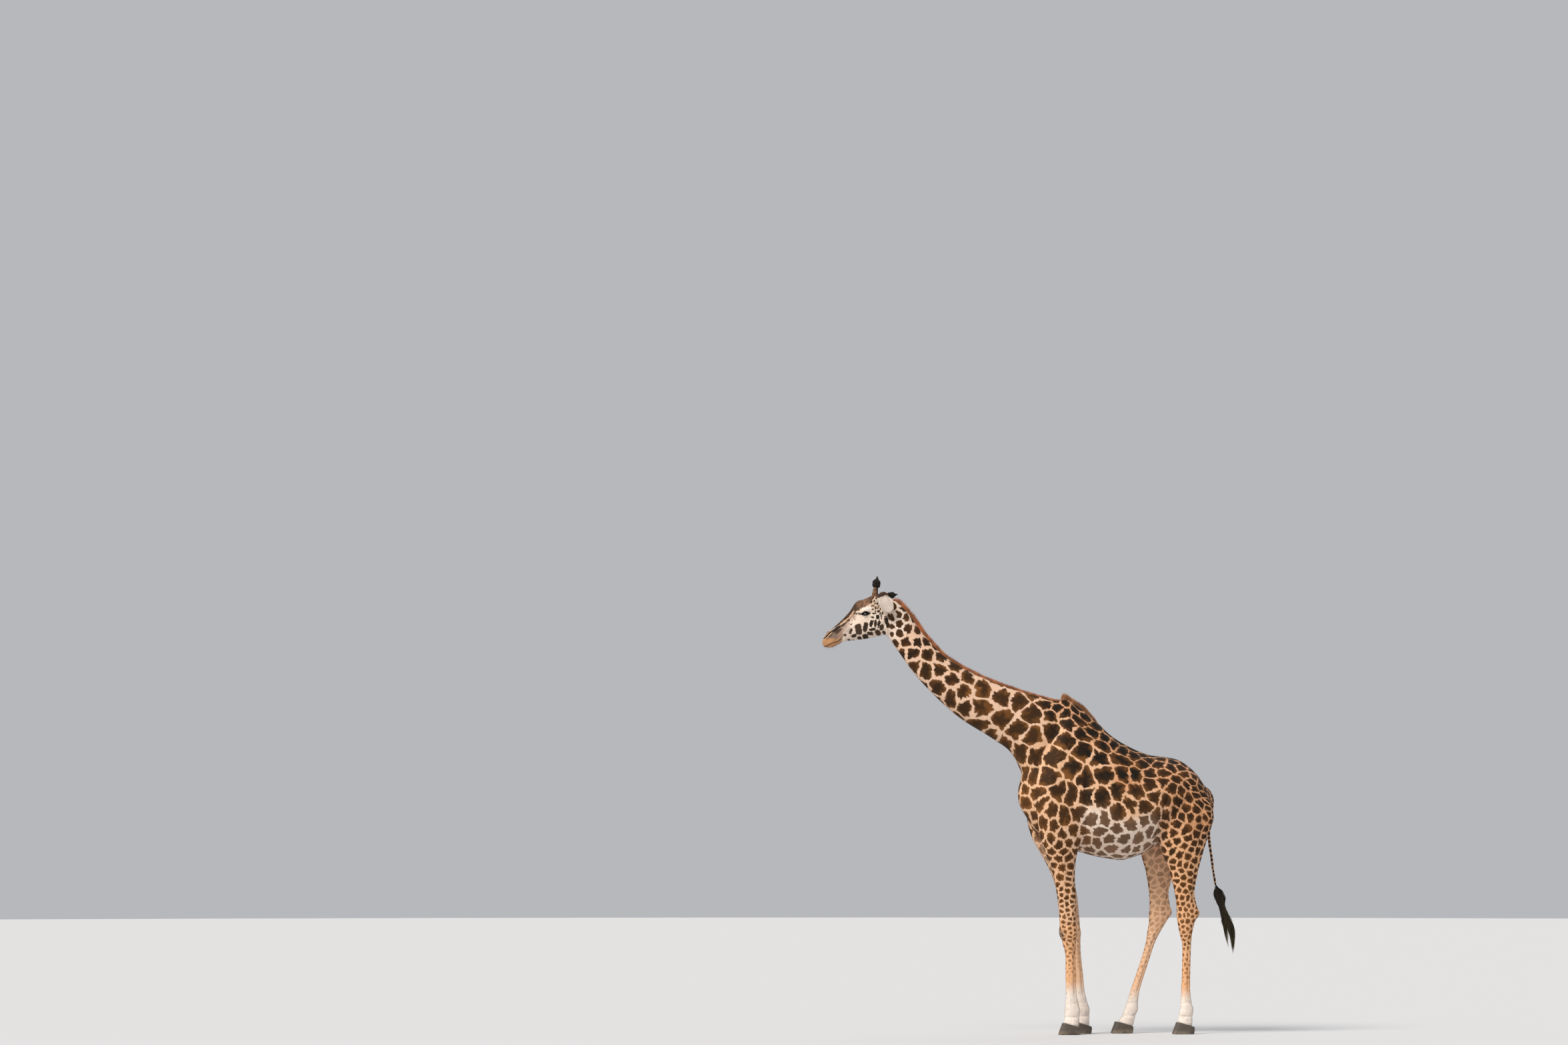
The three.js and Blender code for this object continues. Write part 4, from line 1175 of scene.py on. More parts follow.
def noise(tree, vector, scale, detail, roughness=0.5, out="Fac"):
    inputs = {"Vector": vector, "Scale": scale, "Detail": detail, "Roughness": roughness}
    return add_node(tree, "ShaderNodeTexNoise", inputs).outputs[out]


def waves(tree, *settings):
    """Noise that runs below and above zero."""
    return minus(tree, noise(tree, *settings), 0.5)


def blend(tree, share, a, b, kind="RGBA"):
    first, out = {"FLOAT": (2, 0), "VECTOR": (4, 1), "RGBA": (6, 2)}[kind]
    inputs = {0: share, first: a, first + 1: b}
    return add_node(tree, "ShaderNodeMix", inputs, data_type=kind).outputs[out]


def step_between(tree, value, low, high):
    inputs = {"Value": value, "From Min": low, "From Max": high}
    return add_node(tree, "ShaderNodeMapRange", inputs, interpolation_type="SMOOTHSTEP").outputs["Result"]


def stored(tree, name):
    return add_node(tree, "ShaderNodeAttribute", attribute_name=name)


def split(tree, vector):
    return add_node(tree, "ShaderNodeSeparateXYZ", {0: vector}).outputs


def add_bump(tree, shader, height, strength, distance):
    inputs = {"Height": height, "Strength": strength, "Distance": distance}
    tree.links.new(add_node(tree, "ShaderNodeBump", inputs).outputs["Normal"], shader.inputs["Normal"])


# %% The edge of a patch in nodes
def patch_field(tree, place):
    """How deep a place is inside its patch's edge, how far out it lies, and the patch's own tone."""
    frayed = combine(tree, "SUBTRACT", noise(tree, place, 110, 3, 0.6, "Color"), (0.5, 0.5, 0.5))
    gap, pitch, _ = split(tree, stored(tree, "measure").outputs["Vector"])
    fray = calc(tree, "MINIMUM", times(tree, pitch, 0.00011), 0.012)
    here = combine(tree, "ADD", place, scaled(tree, frayed, fray))
    spots = [stored(tree, name).outputs["Vector"] for name in MIDDLES]
    far = [times(tree, combine(tree, "DISTANCE", here, spot), 1000) for spot in spots]
    first_two = calc(tree, "MINIMUM", far[0], far[1])
    nearest = calc(tree, "MINIMUM", first_two, far[2])
    farthest = calc(tree, "MAXIMUM", calc(tree, "MAXIMUM", far[0], far[1]), far[2])
    total = plus(tree, plus(tree, far[0], far[1]), far[2])
    second = minus(tree, minus(tree, total, nearest), farthest)
    middle = blend(tree, calc(tree, "LESS_THAN", far[1], far[0]), spots[0], spots[1], "VECTOR")
    middle = blend(tree, calc(tree, "LESS_THAN", far[2], first_two), middle, spots[2], "VECTOR")
    way = combine(tree, "NORMALIZE", combine(tree, "SUBTRACT", here, middle))
    lobe_at = combine(tree, "ADD", scaled(tree, way, 1.7), scaled(tree, middle, 37.0))
    spike_at = combine(tree, "ADD", scaled(tree, way, 5.0), scaled(tree, middle, 91.0))
    lobes = waves(tree, lobe_at, 1, 1.5)
    spikes = waves(tree, spike_at, 1, 2)
    border = calc(tree, "DIVIDE", minus(tree, second, nearest), 2)
    eaten = plus(tree, times(tree, lobes, 0.42), times(tree, spikes, 0.13))
    ragged = minus(tree, minus(tree, border, gap), times(tree, eaten, pitch))
    narrow = minus(tree, border, times(tree, gap, 0.55))
    depth = calc(tree, "MINIMUM", ragged, narrow)
    out = calc(tree, "DIVIDE", nearest, pitch)
    cloud = waves(tree, here, 17, 2.5)
    star = plus(tree, times(tree, lobes, 0.55), times(tree, cloud, 0.8))
    tone = add_node(tree, "ShaderNodeTexWhiteNoise", {"Vector": middle}).outputs["Value"]
    return depth, plus(tree, out, star), tone


# %% The markings in nodes
def markings(tree):
    """The coat's colour and its fine grain, from the attributes stored on the mesh."""
    place = stored(tree, "place").outputs["Vector"]
    depth, star, tone = patch_field(tree, place)
    face, spot, mottle = split(tree, stored(tree, "on_face").outputs["Vector"])
    _, _, darkness = split(tree, stored(tree, "measure").outputs["Vector"])
    fine = waves(tree, place, 420, 3, 0.65)
    fringe = waves(tree, place, 150, 2, 0.6)
    bumpy = waves(tree, place, 55, 2)
    fringe = plus(tree, times(tree, fringe, 9), times(tree, bumpy, 15))
    face_depth = plus(tree, spot, fringe)
    edge = blend(tree, face, depth, face_depth, "FLOAT")
    edge = plus(tree, edge, times(tree, fine, 5))
    inside = step_between(tree, edge, -1.4, 1.6)
    heart = minus(tree, 1, step_between(tree, star, 0.12, 0.54))
    heart = blend(tree, face, heart, step_between(tree, face_depth, 0, 9), "FLOAT")
    heart = times(tree, heart, darkness)
    brown = stored(tree, "patch").outputs["Color"]
    brown = scaled(tree, brown, calc(tree, "MULTIPLY_ADD", tone, 0.34, 0.83))
    brown = blend(tree, heart, brown, (*BLACKISH, 1))
    light = stored(tree, "ground").outputs["Color"]
    cloud = waves(tree, place, 36, 4, 0.6)
    much = calc(tree, "MULTIPLY_ADD", mottle, 1.5, 0.22)
    uneven = plus(tree, cloud, times(tree, fine, 0.7))
    light = scaled(tree, light, calc(tree, "MULTIPLY_ADD", uneven, much, 1))
    blotch = noise(tree, combine(tree, "MULTIPLY", place, (0.6, 1.0, 1.0)), 62, 3, 0.6)
    blotch = times(tree, step_between(tree, blotch, 0.44, 0.62), times(tree, mottle, 0.75))
    light = blend(tree, blotch, light, (*BLACKISH, 1))
    colour = blend(tree, inside, light, brown)
    strand = calc(tree, "MULTIPLY_ADD", fine, 0.30, 1)
    strand = times(tree, strand, stored(tree, "shade").outputs["Fac"])
    return scaled(tree, colour, strand), fine


def coat_finish(name, bump):
    settings = {"Roughness": 0.68, "Specular IOR Level": 0.2, "Sheen Weight": 0.03, "Sheen Roughness": 0.5}
    finish, tree, shader = new_finish(name, settings)
    colour, fine = markings(tree)
    tree.links.new(colour, shader.inputs["Base Color"])
    if bump:
        add_bump(tree, shader, fine, bump, 0.004)
    return finish


skin_finish = coat_finish("coat_on_skin", 0.55)
skin_mesh.materials.append(skin_finish)
print("the finish has", len(skin_finish.node_tree.nodes), "nodes")

# %% [markdown]
# ## Which way the hair lies
# Every hair leans away from its root, and neighbours lean alike, so the coat has a flow: back over the
# nose and the skull, down the neck, back and down over the flanks, straight down the legs. The flow is
# blended from a few samples seen from the side, then laid flat on the skin. Combing by hand gives the
# same, but has to be done again whenever the shape changes.

# %% The flow of the coat
# Each sample: x, z, and the way the hair lies there, as x and z.
FLOW = [
    (-1480, 3480, 0.7, -0.7), (-1250, 3250, 0.75, -0.65), (-900, 2900, 0.85, -0.5),
    (-500, 2680, 0.85, -0.5), (-150, 2500, 0.6, -0.8), (-150, 2150, 0.35, -0.95),
    (-380, 2050, 0.1, -1.0), (-100, 1750, 0.15, -1.0), (-40, 1350, 0.05, -1.0), (0, 600, 0.0, -1.0),
    (250, 2500, 0.9, -0.4), (300, 2100, 0.8, -0.6), (300, 1600, 0.95, -0.3), (600, 2300, 0.9, -0.45),
    (600, 1800, 0.8, -0.6), (640, 1550, 0.9, -0.2), (1000, 2250, 0.75, -0.65), (900, 1950, 0.3, -0.95),
    (1150, 1950, 0.35, -0.95), (950, 1600, 0.1, -1.0), (1000, 1200, 0.05, -1.0), (1000, 600, 0.0, -1.0),
    (1240, 1700, 0.0, -1.0),
]
OVER_NOSE, OVER_BROW, UP_THE_STALK = np.array([[0.97, 0, -0.12], [0.75, 0, 0.55], [0.05, -0.05, 1.0]])
facing = outward(skin_points)
flow = np.zeros_like(skin_points)
for x, z, way_x, way_z in FLOW:
    far = (body[:, 0] - x * MM) ** 2 + (body[:, 2] - z * MM) ** 2
    flow += np.array([way_x, 0, way_z]) / (far[:, None] + 0.004) ** 1.5
flow /= np.linalg.norm(flow, axis=1)[:, None]
up_the_face = ramp(in_head[:, 2], -0.12, 0.08)[:, None]
face_way = (OVER_NOSE * (1 - up_the_face) + OVER_BROW * up_the_face) @ HEAD_TURN.T
flow = toward(flow, face_way, face)
for side in SIDES.values():
    flow = toward(flow, HEAD_TURN @ ear_frame(side)[0], ear_share * (in_head[:, 1] * side > 0))
flow = toward(flow, HEAD_TURN @ UP_THE_STALK, stalk_only)
flow -= facing * (flow * facing).sum(1)[:, None]
flow /= np.linalg.norm(flow, axis=1)[:, None] + 1e-9
print("the hair leans the most downwards:", round(float(flow[:, 2].min()), 2))

# %% [markdown]
# ## Where the tufts are rooted
# A giraffe's coat is short and flat, so the bump on the skin carries most of it. Tufts over it catch
# the light, fray the edges of the patches and break the outline. Roots are thrown on the skin's faces
# by area, closer together where the tufts are smaller, so they overlap by the same share everywhere.

# %% Throw the roots
TUFT_COUNT = 215000
size_at = np.ones(len(skin_points))
size_at -= 0.30 * (1 - ramp(body[:, 2], 0.9, 1.6))
size_at -= 0.15 * (1 - ramp(body[:, 2], 0.15, 0.45))
size_at -= 0.25 * (1 - face) * ramp(-body[:, 0], 0.9, 1.3)
size_at *= 1 - 0.48 * np.maximum(face, stalk_share)
size_at *= 1 - 0.20 * ear_share
first_corner = skin_faces[:, 0]
face_area = np.linalg.norm(face_cross(skin_points), axis=1) / 2
bare = ear_share[skin_faces].mean(1) + nostril_hole[skin_faces].mean(1)
covered = (body[first_corner, 2] > 0.075) & (bare < 1.4)
chance = face_area * covered / size_at[first_corner] ** 2
root_face = np.sort(dice.choice(len(skin_faces), TUFT_COUNT, p=chance / chance.sum()))
u, v = dice.uniform(0, 1, (2, TUFT_COUNT, 1))
corner_share = np.stack([(1 - u) * (1 - v), u * (1 - v), u * v, (1 - u) * v], 1)


def at_roots(values):
    values = np.asarray(values)
    flat = values.reshape(len(values), -1)
    return (flat[skin_faces[root_face]] * corner_share).sum(1).reshape(TUFT_COUNT, *values.shape[1:])


def unit(vectors):
    return vectors / (np.linalg.norm(vectors, axis=-1, keepdims=True) + 1e-12)


roots, root_body, root_head = at_roots(skin_points), at_roots(body), at_roots(in_head)
root_up, root_flow, tuft_size = unit(at_roots(facing)), at_roots(flow), at_roots(size_at)
root_ear, root_on_face = at_roots(ear_share), at_roots(face)
print(TUFT_COUNT, "roots on", round(float(face_area.sum()), 2), "square metres of skin")

# %% [markdown]
# ## A flat pattern of the skin
# When the model leaves Blender its colours are baked into an image, and each tuft needs its own small
# spot there. The skin is cut like a sewing pattern, into tubes for trunk, neck, head, legs and tail, each
# slit along one side and opened flat, and every tuft gets a spot where its root lies on that pattern.

# %% The flat pattern
# Where the middle of the head and of the tail run: heights along the head, and x down the tail.
HEAD_AXIS = ([-0.55, -0.48, -0.37, -0.24, 0.0, 0.07], [-0.22, -0.18, -0.11, -0.03, 0.0, 0.0])
TAIL_AXIS = ([1.24, 1.42, 1.68, 1.85, 2.0], [1.284, 1.256, 1.228, 1.248, 1.240])


def opened(y, z, along, cell):
    """A tube opened flat inside a cell (left, low, wide, high), by the angle round it and the way along."""
    round_share = np.arctan2(y, z) / (2 * math.pi) + 0.5
    left, low, wide, high = cell
    u = left + 0.01 + (wide - 0.02) * round_share
    return np.stack([u, low + 0.01 + (high - 0.02) * np.clip(along, 0, 1)], 1)


def flat_pattern(places, on_head, on_ear, head_places):
    x, y, z = places.T
    head_x, head_y, head_z = head_places.T
    out = opened(y, z - 2.05, (x + 0.45) / 1.75, (0, 0, 0.5, 0.5))
    neck_x, *neck = np.array([[(r[0] + r[2]) / 2, (r[1] + r[3]) / 2, r[5]] for r in reversed(NECK)]).T * MM
    neck_z, neck_y = [np.interp(x, neck_x, row) for row in neck]
    on_neck = opened(y - neck_y, z - neck_z, (x + 1.65) / 1.40, (0, 0.5, 0.5, 0.25))
    out = np.where((x < -0.30)[:, None] & (z > 2.2)[:, None], on_neck, out)
    for k, rows in enumerate((FORELEG, HINDLEG)):
        line = np.array([[row[0], (row[1] + row[2]) / 2] for row in reversed(rows)]) * MM
        leg_x = np.interp(z, line[:, 0], line[:, 1])
        for j, side in enumerate(SIDES.values()):
            cell = (0.5 + 0.25 * k, 0.25 * j, 0.25, 0.25)
            on_leg = (z < 1.5) & (y * side > 0) & ((x < BETWEEN_LEGS) == (k == 0))
            out = np.where(on_leg[:, None], opened(y - side * 0.148, x - leg_x, z / 1.5, cell), out)
    on_tail = (x > 1.17) & (z < 1.9) & (np.abs(y) < 0.05)
    tail_x = np.interp(z, *TAIL_AXIS)
    out = np.where(on_tail[:, None], opened(y, x - tail_x, (z - 1.2) / 0.75, (0, 0.75, 0.25, 0.25)), out)
    axis_z = np.interp(head_x, *HEAD_AXIS)
    head_tube = opened(head_y, head_z - axis_z, (head_x + 0.58) / 0.66, (0.5, 0.5, 0.5, 0.25))
    out = np.where(on_head[:, None] > 0.5, head_tube, out)
    for k, side in enumerate(SIDES.values()):
        long, wide, deep = ((head_places - mirrored(EAR_ROOT, side)) @ ear_frame(side).T).T
        behind = deep < 0.5 * wide**2 / 0.057 - 0.010
        u = 0.25 + 0.25 * k + np.clip((wide + 0.075) / 0.15, 0, 1) * 0.115 + 0.12 * behind
        v = 0.76 + 0.23 * np.clip(long / 0.2, 0, 1)
        on_this = (on_ear > 0.5) & (head_y * side > 0)
        out = np.where(on_this[:, None], np.stack([u, v], 1), out)
    return out


root_spot = flat_pattern(root_body, root_on_face, root_ear, root_head)
print("the pattern spans", root_spot.min(0).round(2), "to", root_spot.max(0).round(2))

# %% [markdown]
# ## The tufts
# One tuft is a thin closed sliver: two points across its foot, a keel sunk in the skin and a tip a
# little above it. Its facets would catch the light one by one, so each takes the skin's own direction for
# shading, as a combed coat does. Everything the finish reads is copied from the root, so a tuft has
# one colour from foot to tip and carries it across the edge of its patch, as real hair does.

# %% Slivers over the skin
SPOT_WIDE = 0.003


def solid_mesh(name, points, triangles):
    """A mesh from many triangles at once."""
    mesh = bpy.data.meshes.new(name)
    mesh.vertices.add(len(points))
    mesh.vertices.foreach_set("co", np.asarray(points + SHIFT, np.float32).ravel())
    mesh.loops.add(triangles.size)
    mesh.loops.foreach_set("vertex_index", triangles.ravel().astype(np.int32))
    mesh.polygons.add(len(triangles))
    mesh.polygons.foreach_set("loop_start", np.arange(0, triangles.size, 3, dtype=np.int32))
    mesh.update(calc_edges=True)
    mesh.shade_smooth()
    return mesh


def spread_spots(mesh, triangles, spots, local):
    """The map for baking: each tuft's own small patch at its root's spot."""
    flat = spots[:, None] + (local - 0.5) * SPOT_WIDE
    flat = np.clip(flat.reshape(-1, 2), 0.001, 0.999)[triangles.ravel()]
    mesh.uv_layers.new(name="OFBake").data.foreach_set("uv", flat.ravel().astype(np.float32))


def hang(name, mesh, finish, slot, *nodes):
    piece = in_scene(name, mesh)
    mesh.materials.append(finish)
    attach(piece, "root")
    if nodes:
        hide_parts(*nodes)
    return piece


def coat_piece(name, chosen, finish):
    count = len(chosen)
    size = tuft_size[chosen, None] * dice.uniform(0.75, 1.2, (count, 1)) * MM
    up, way = root_up[chosen], root_flow[chosen]
    side = np.cross(up, way)
    way = unit(way + side * dice.normal(0, 0.10, (count, 1)))
    side = np.cross(up, way)
    foot = roots[chosen] - way * 2.5 * size
    points = np.stack([
        foot - side * 1.7 * size + up * 0.3 * size,
        foot + side * 1.7 * size + up * 0.3 * size,
        foot + way * 16 * size + up * dice.uniform(0.9, 2.0, (count, 1)) * size,
        foot + way * 4 * size - up * 0.9 * size,
    ], 1)
    one = np.array([[0, 2, 1], [2, 0, 3], [1, 2, 3], [0, 1, 3]])
    triangles = (one[None] + 4 * np.arange(count)[:, None, None]).reshape(-1, 3)
    mesh = solid_mesh(name, points.reshape(-1, 3), triangles)
    spread_spots(mesh, triangles, root_spot[chosen], np.array([[0.1, 0], [0.9, 0], [0.5, 1], [0.5, 0.3]]))
    values = [np.repeat(value[chosen], 4, axis=0) for value in root_values]
    store_coat(mesh, values, np.repeat(near_three[root_face[chosen]], 4, axis=0))
    mesh.normals_split_custom_set_from_vertices(np.repeat(up, 4, axis=0).tolist())
    return hang(name, mesh, finish, "coat")


root_values = [at_roots(value) for value in coat_values]
root_values.append(dice.uniform(0.86, 1.12, TUFT_COUNT))
hair_finish = coat_finish("coat_hair", 0)
in_order = np.argsort(root_body[:, 0] + 10 * (root_body[:, 2] < 1.5))
for k, chosen in enumerate(np.array_split(in_order, 5)):
    piece = coat_piece(f"coat_{k + 1}", chosen, hair_finish)
    print(piece.name, "has", len(piece.data.polygons), "triangles")

# %% [markdown]
# ## Longer hair
# The mane, the tassel and the tufts on the horns are made of locks that can be told apart. One lock is a
# three-sided tube that thins to a point along its own curved line. Given many lines at once, numpy
# builds them all in one go, which is much faster than a loop over curve objects.

# %% Locks along given lines
def locks(lines, radii, flat):
    """Points and triangles of tapering locks: lines is (locks, rings, 3), radii (locks, rings - 1)."""
    count, rings, _ = lines.shape
    way = unit(np.gradient(lines, axis=1))
    side = unit(np.cross(way, [0.17, 1.0, 0.23]))
    up = np.cross(side, way) * flat
    turn = np.radians([90, 210, 330])
    ring = np.cos(turn)[:, None] * side[:, :-1, None] + np.sin(turn)[:, None] * up[:, :-1, None]
    tube = lines[:, :-1, None] + radii[..., None, None] * ring
    points = np.concatenate([tube.reshape(count, -1, 3), lines[:, -1:]], 1)
    one, tip = [[0, 1, 2]], 3 * (rings - 1)
    for k in range(rings - 2):
        for a in range(3):
            b, low, high = (a + 1) % 3, 3 * k, 3 * k + 3
            one += [[low + a, high + a, high + b], [low + a, high + b, low + b]]
    one += [[tip - 3 + a, tip, tip - 3 + (a + 1) % 3] for a in range(3)]
    triangles = np.array(one)[None] + (tip + 1) * np.arange(count)[:, None, None]
    return points.reshape(-1, 3), triangles.reshape(-1, 3)


def lock_finish(name, roughness, contrast):
    finish, tree, shader = new_finish(name, {"Roughness": roughness, "Specular IOR Level": 0.35})
    tint = stored(tree, "tint").outputs["Color"]
    where = add_node(tree, "ShaderNodeTexCoord").outputs["Object"]
    streak = calc(tree, "MULTIPLY_ADD", waves(tree, where, 260, 2, 0.6), contrast, 1)
    tree.links.new(scaled(tree, tint, streak), shader.inputs["Base Color"])
    add_bump(tree, shader, streak, 0.3, 0.001)
    return finish


def lock_piece(name, lines, radii, tints, spots, finish, slot, *nodes, flat=1.0):
    """tints is (locks, rings, 3): the colour of each lock at each ring."""
    points, triangles = locks(lines, radii, flat)
    mesh = solid_mesh(name, points, triangles)
    rings = lines.shape[1]
    ring_of = np.append(np.repeat(np.arange(rings - 1), 3), rings - 1)
    store(mesh, "tint", tints[:, ring_of].reshape(-1, 3), "FLOAT_COLOR")
    local = np.stack([np.append(np.tile([0, 0.5, 1], rings - 1), 0.5), ring_of / (rings - 1)], 1)
    spread_spots(mesh, triangles, spots, local)
    hang(name, mesh, finish, slot, *nodes)
    print(name, "has", len(lines), "locks and", len(triangles), "triangles")


def lock_radii(thick, shares, low, high, count):
    """The first radius in millimetres times the shares along a lock, with some locks thicker."""
    return thick * MM * np.array(shares)[None] * dice.uniform(low, high, (count, 1))


def shaded(colours, count, rings, tip_colour=None, tip_share=0.6):
    """A random mix of two colours per lock, going towards the tip colour along each lock."""
    mix = dice.uniform(0, 1, (count, 1, 1))
    base = colours[0] * mix + colours[1] * (1 - mix)
    along = np.linspace(0, 1, rings)[None, :, None]
    if tip_colour is None:
        return base + 0 * along
    return base + (tip_colour - base) * tip_share * along**2


# %% Neck mane and withers mane
mane_finish = lock_finish("mane_hair", 0.7, 0.5)


def mane(name, node, rows, half_width, lean, count, colours, tip_colour):
    """Locks along rows of x, the height of their roots and tips, and y."""
    line = curve_through(rows, 900)
    step = np.hypot(np.diff(line[:, 0]), np.diff(line[:, 1]))
    at = np.concatenate([[0], np.cumsum(step)])
    where = np.sort(dice.uniform(0, at[-1], count))
    x, root, tip, y = [np.interp(where, at, line[:, k]) * MM for k in range(4)]
    across = np.clip(dice.normal(0, 0.5, count), -1, 1)
    length = (tip - root) * dice.uniform(0.70, 1.0, count) * (1.02 - 0.2 * across**2)
    rings = 5
    t = np.linspace(0, 1, rings)[None, :]
    start = np.stack([x, y + across * half_width * 0.62 * MM, root], 1)
    sway = dice.normal(0, 0.07, (count, 2))
    lines = np.repeat(start[:, None], rings, axis=1)
    lines[..., 0] += length[:, None] * (t * (lean + sway[:, :1]) + 0.06 * np.sin(3 * t + 40 * x[:, None]))
    lines[..., 1] += length[:, None] * t * (sway[:, 1:] + 0.10 * across[:, None])
    lines[..., 2] += length[:, None] * t
    radii = lock_radii(1.25, [1.0, 1.1, 0.9, 0.55], 0.7, 1.2, count)
    tints = shaded(colours, count, rings, tip_colour)
    clump = 0.86 + 0.22 * np.sin(where * 0.05 + 3 * np.sin(where * 0.013))
    spots = np.stack([0.02 + 0.96 * where / at[-1], 0.5 + 0.45 * across], 1)
    lock_piece(name, lines, radii, tints * clump[:, None, None], spots, mane_finish, "mane", node, flat=0.8)


NECK_MANE = [
    (-1478, 3612, 3636, 112), (-1448, 3585, 3654, 106), (-1352, 3495, 3566, 86), (-1228, 3330, 3390, 58),
    (-1038, 3130, 3182, 28), (-736, 2965, 3014, 8), (-398, 2845, 2890, 0), (-150, 2785, 2820, 0),
    (-70, 2780, 2806, 0),
]
WITHERS_MANE = [
    (-50, 2782, 2815, 0), (-34, 2778, 2864, 0), (60, 2745, 2812, 0), (150, 2685, 2748, 0),
    (230, 2615, 2664, 0), (262, 2595, 2618, 0),
]
RUST, DARK_RUST = paint(226, 146, 92), paint(190, 116, 68)
FULVOUS, DARK_TAN = paint(206, 148, 104), paint(138, 88, 52)
NECK_TIPS, WITHERS_TIPS = paint(166, 104, 66), paint(172, 118, 76)
HAIR_SHARE = 1.0
NECK_LOCKS, WITHERS_LOCKS = int(7500 * HAIR_SHARE), int(2600 * HAIR_SHARE)
mane("neck_mane_hair", "neck_mane", NECK_MANE, 17, 0.4, NECK_LOCKS, (RUST, DARK_RUST), NECK_TIPS)
mane("withers_mane_hair", "withers_mane", WITHERS_MANE, 15, 0.1, WITHERS_LOCKS, (FULVOUS, DARK_TAN),
     WITHERS_TIPS)

# %% [markdown]
# ## Tassel and horn tufts
# The tassel is a bundle of long coarse hair. Its locks leave the tail at different heights and follow
# its curve down, gathered in clumps that drift apart towards the ends. Each horn carries a short black
# brush, built in the same way with its locks spreading like the bristles of a worn paintbrush.

# %% Tassel
TWIST = 1.5


def bundle(spine, spread, count, clumps, start_share, end_low, rings, thick):
    """Lines that follow a spine in clumps, their distance from it read from spread along its length."""
    line = curve_through(spine, 200) * MM
    where = np.linspace(0, 1, 200)
    clump = dice.integers(0, clumps, count)
    clump_turn = dice.uniform(0, 2 * math.pi, clumps)[clump]
    clump_out = np.sqrt(dice.uniform(0.05, 1, clumps))[clump]
    clump_wave = dice.uniform(0, 6, clumps)[clump]
    first = dice.uniform(0, start_share, count)
    last = dice.uniform(end_low, 1, clumps)[clump] * dice.uniform(0.86, 1, count)
    last = np.maximum(last, first + 0.2)
    t = np.linspace(0, 1, rings)[None, :]
    at = first[:, None] + (last - first)[:, None] * t
    middle = np.stack([np.interp(at, where, line[:, k]) for k in range(3)], -1)
    reach = np.interp(at, np.linspace(0, 1, len(spread)), spread) * MM
    grown = np.minimum(1, (at - first[:, None]) / 0.12)
    turn = clump_turn[:, None] + TWIST * at * np.sin(clump_wave)[:, None]
    out = reach * grown * clump_out[:, None]
    fray = dice.normal(0, 0.16, (count, 2, 1)) * reach[:, None] * grown[:, None]
    wave = 0.24 * reach * np.sin(11 * at + clump_wave[:, None])
    middle[..., 0] += out * np.cos(turn) + fray[:, 0] + wave
    middle[..., 1] += 0.75 * (out * np.sin(turn) + fray[:, 1])
    radii = lock_radii(thick, np.linspace(1, 0.45, rings - 1), 0.7, 1.25, count)
    return middle, radii, np.stack([0.02 + 0.96 * first, (clump + 0.5) / clumps], 1)


dark_finish = lock_finish("dark_hair", 0.5, 0.6)
TASSEL = [[1284, -12, 1250], [1318, -12, 1140], [1358, -12, 1000], [1400, -12, 860], [1426, -12, 645]]
TASSEL_SPREAD = [8, 42, 40, 22, 30, 40, 34, 24, 14]
lines, radii, spots = bundle(TASSEL, TASSEL_SPREAD, int(1500 * HAIR_SHARE), 30, 0.5, 0.45, 12, 1.8)
tints = shaded((paint(22, 17, 12), paint(38, 31, 22)), len(lines), 12, paint(93, 80, 46), 0.55)
lock_piece("tassel_hair", lines, radii, tints, spots, dark_finish, "dark_hair", "tail_tassel")

# %% Brushes on the horns
FULLNESS = {"left": 1.45, "right": 1.15}
CLUMP_TURN = 0.42
for name, horn in OSSICONES.items():
    tuft, tip = horn[2:] * MM
    way = unit(tip - tuft)
    side = unit(np.cross(way, [0.2, 1, 0.1]))
    other = np.cross(way, side)
    count, rings = int(1100 * HAIR_SHARE), 7
    turn, out = dice.uniform(0, 2 * math.pi, count), np.sqrt(dice.uniform(0, 1, count))
    clump = np.round(turn / CLUMP_TURN) * CLUMP_TURN
    begin = dice.uniform(-0.05, 0.42, count)
    reach = np.linalg.norm(tip - tuft)
    length = (0.30 + 0.42 * (1 - out) + dice.uniform(0, 0.14, count)) * reach
    t = np.linspace(0, 1, rings)[None, :]
    belly = np.sin(np.clip(t * 1.25, 0, 1) * math.pi)
    bow = (13 + 15 * out[:, None] * belly - 9 * t) * FULLNESS[name] * MM * out[:, None] ** 0.3
    lean = turn[:, None] * (1 - 0.5 * t) + clump[:, None] * 0.5 * t
    lines = tuft + way * (begin[:, None] * reach + length[:, None] * t)[..., None]
    lines += (side * np.cos(lean)[..., None] + other * np.sin(lean)[..., None]) * bow[..., None]
    lines += dice.normal(0, 1.6 * MM, (count, 1, 3)) * t[..., None] ** 2
    radii = lock_radii(1.1, np.linspace(1, 0.5, rings - 1), 0.7, 1.3, count)
    tints = shaded((paint(24, 20, 17), paint(48, 41, 36)), count, rings, paint(70, 62, 54), 0.5)
    spots = np.stack([0.02 + 0.96 * turn / (2 * math.pi), 0.5 + begin], 1)
    title = f"{name}_ossicone_tuft"
    lock_piece(title + "_hair", from_head(lines), radii, tints, spots, dark_finish, "dark_hair", title)

# %% [markdown]
# ## Lashes, ear hair and whiskers
# Long dark lashes hang over the eye from the upper lid. Pale hair lines the hollow of each ear and
# stands past its rim, and a few stiff hairs grow on the chin and round the lips.

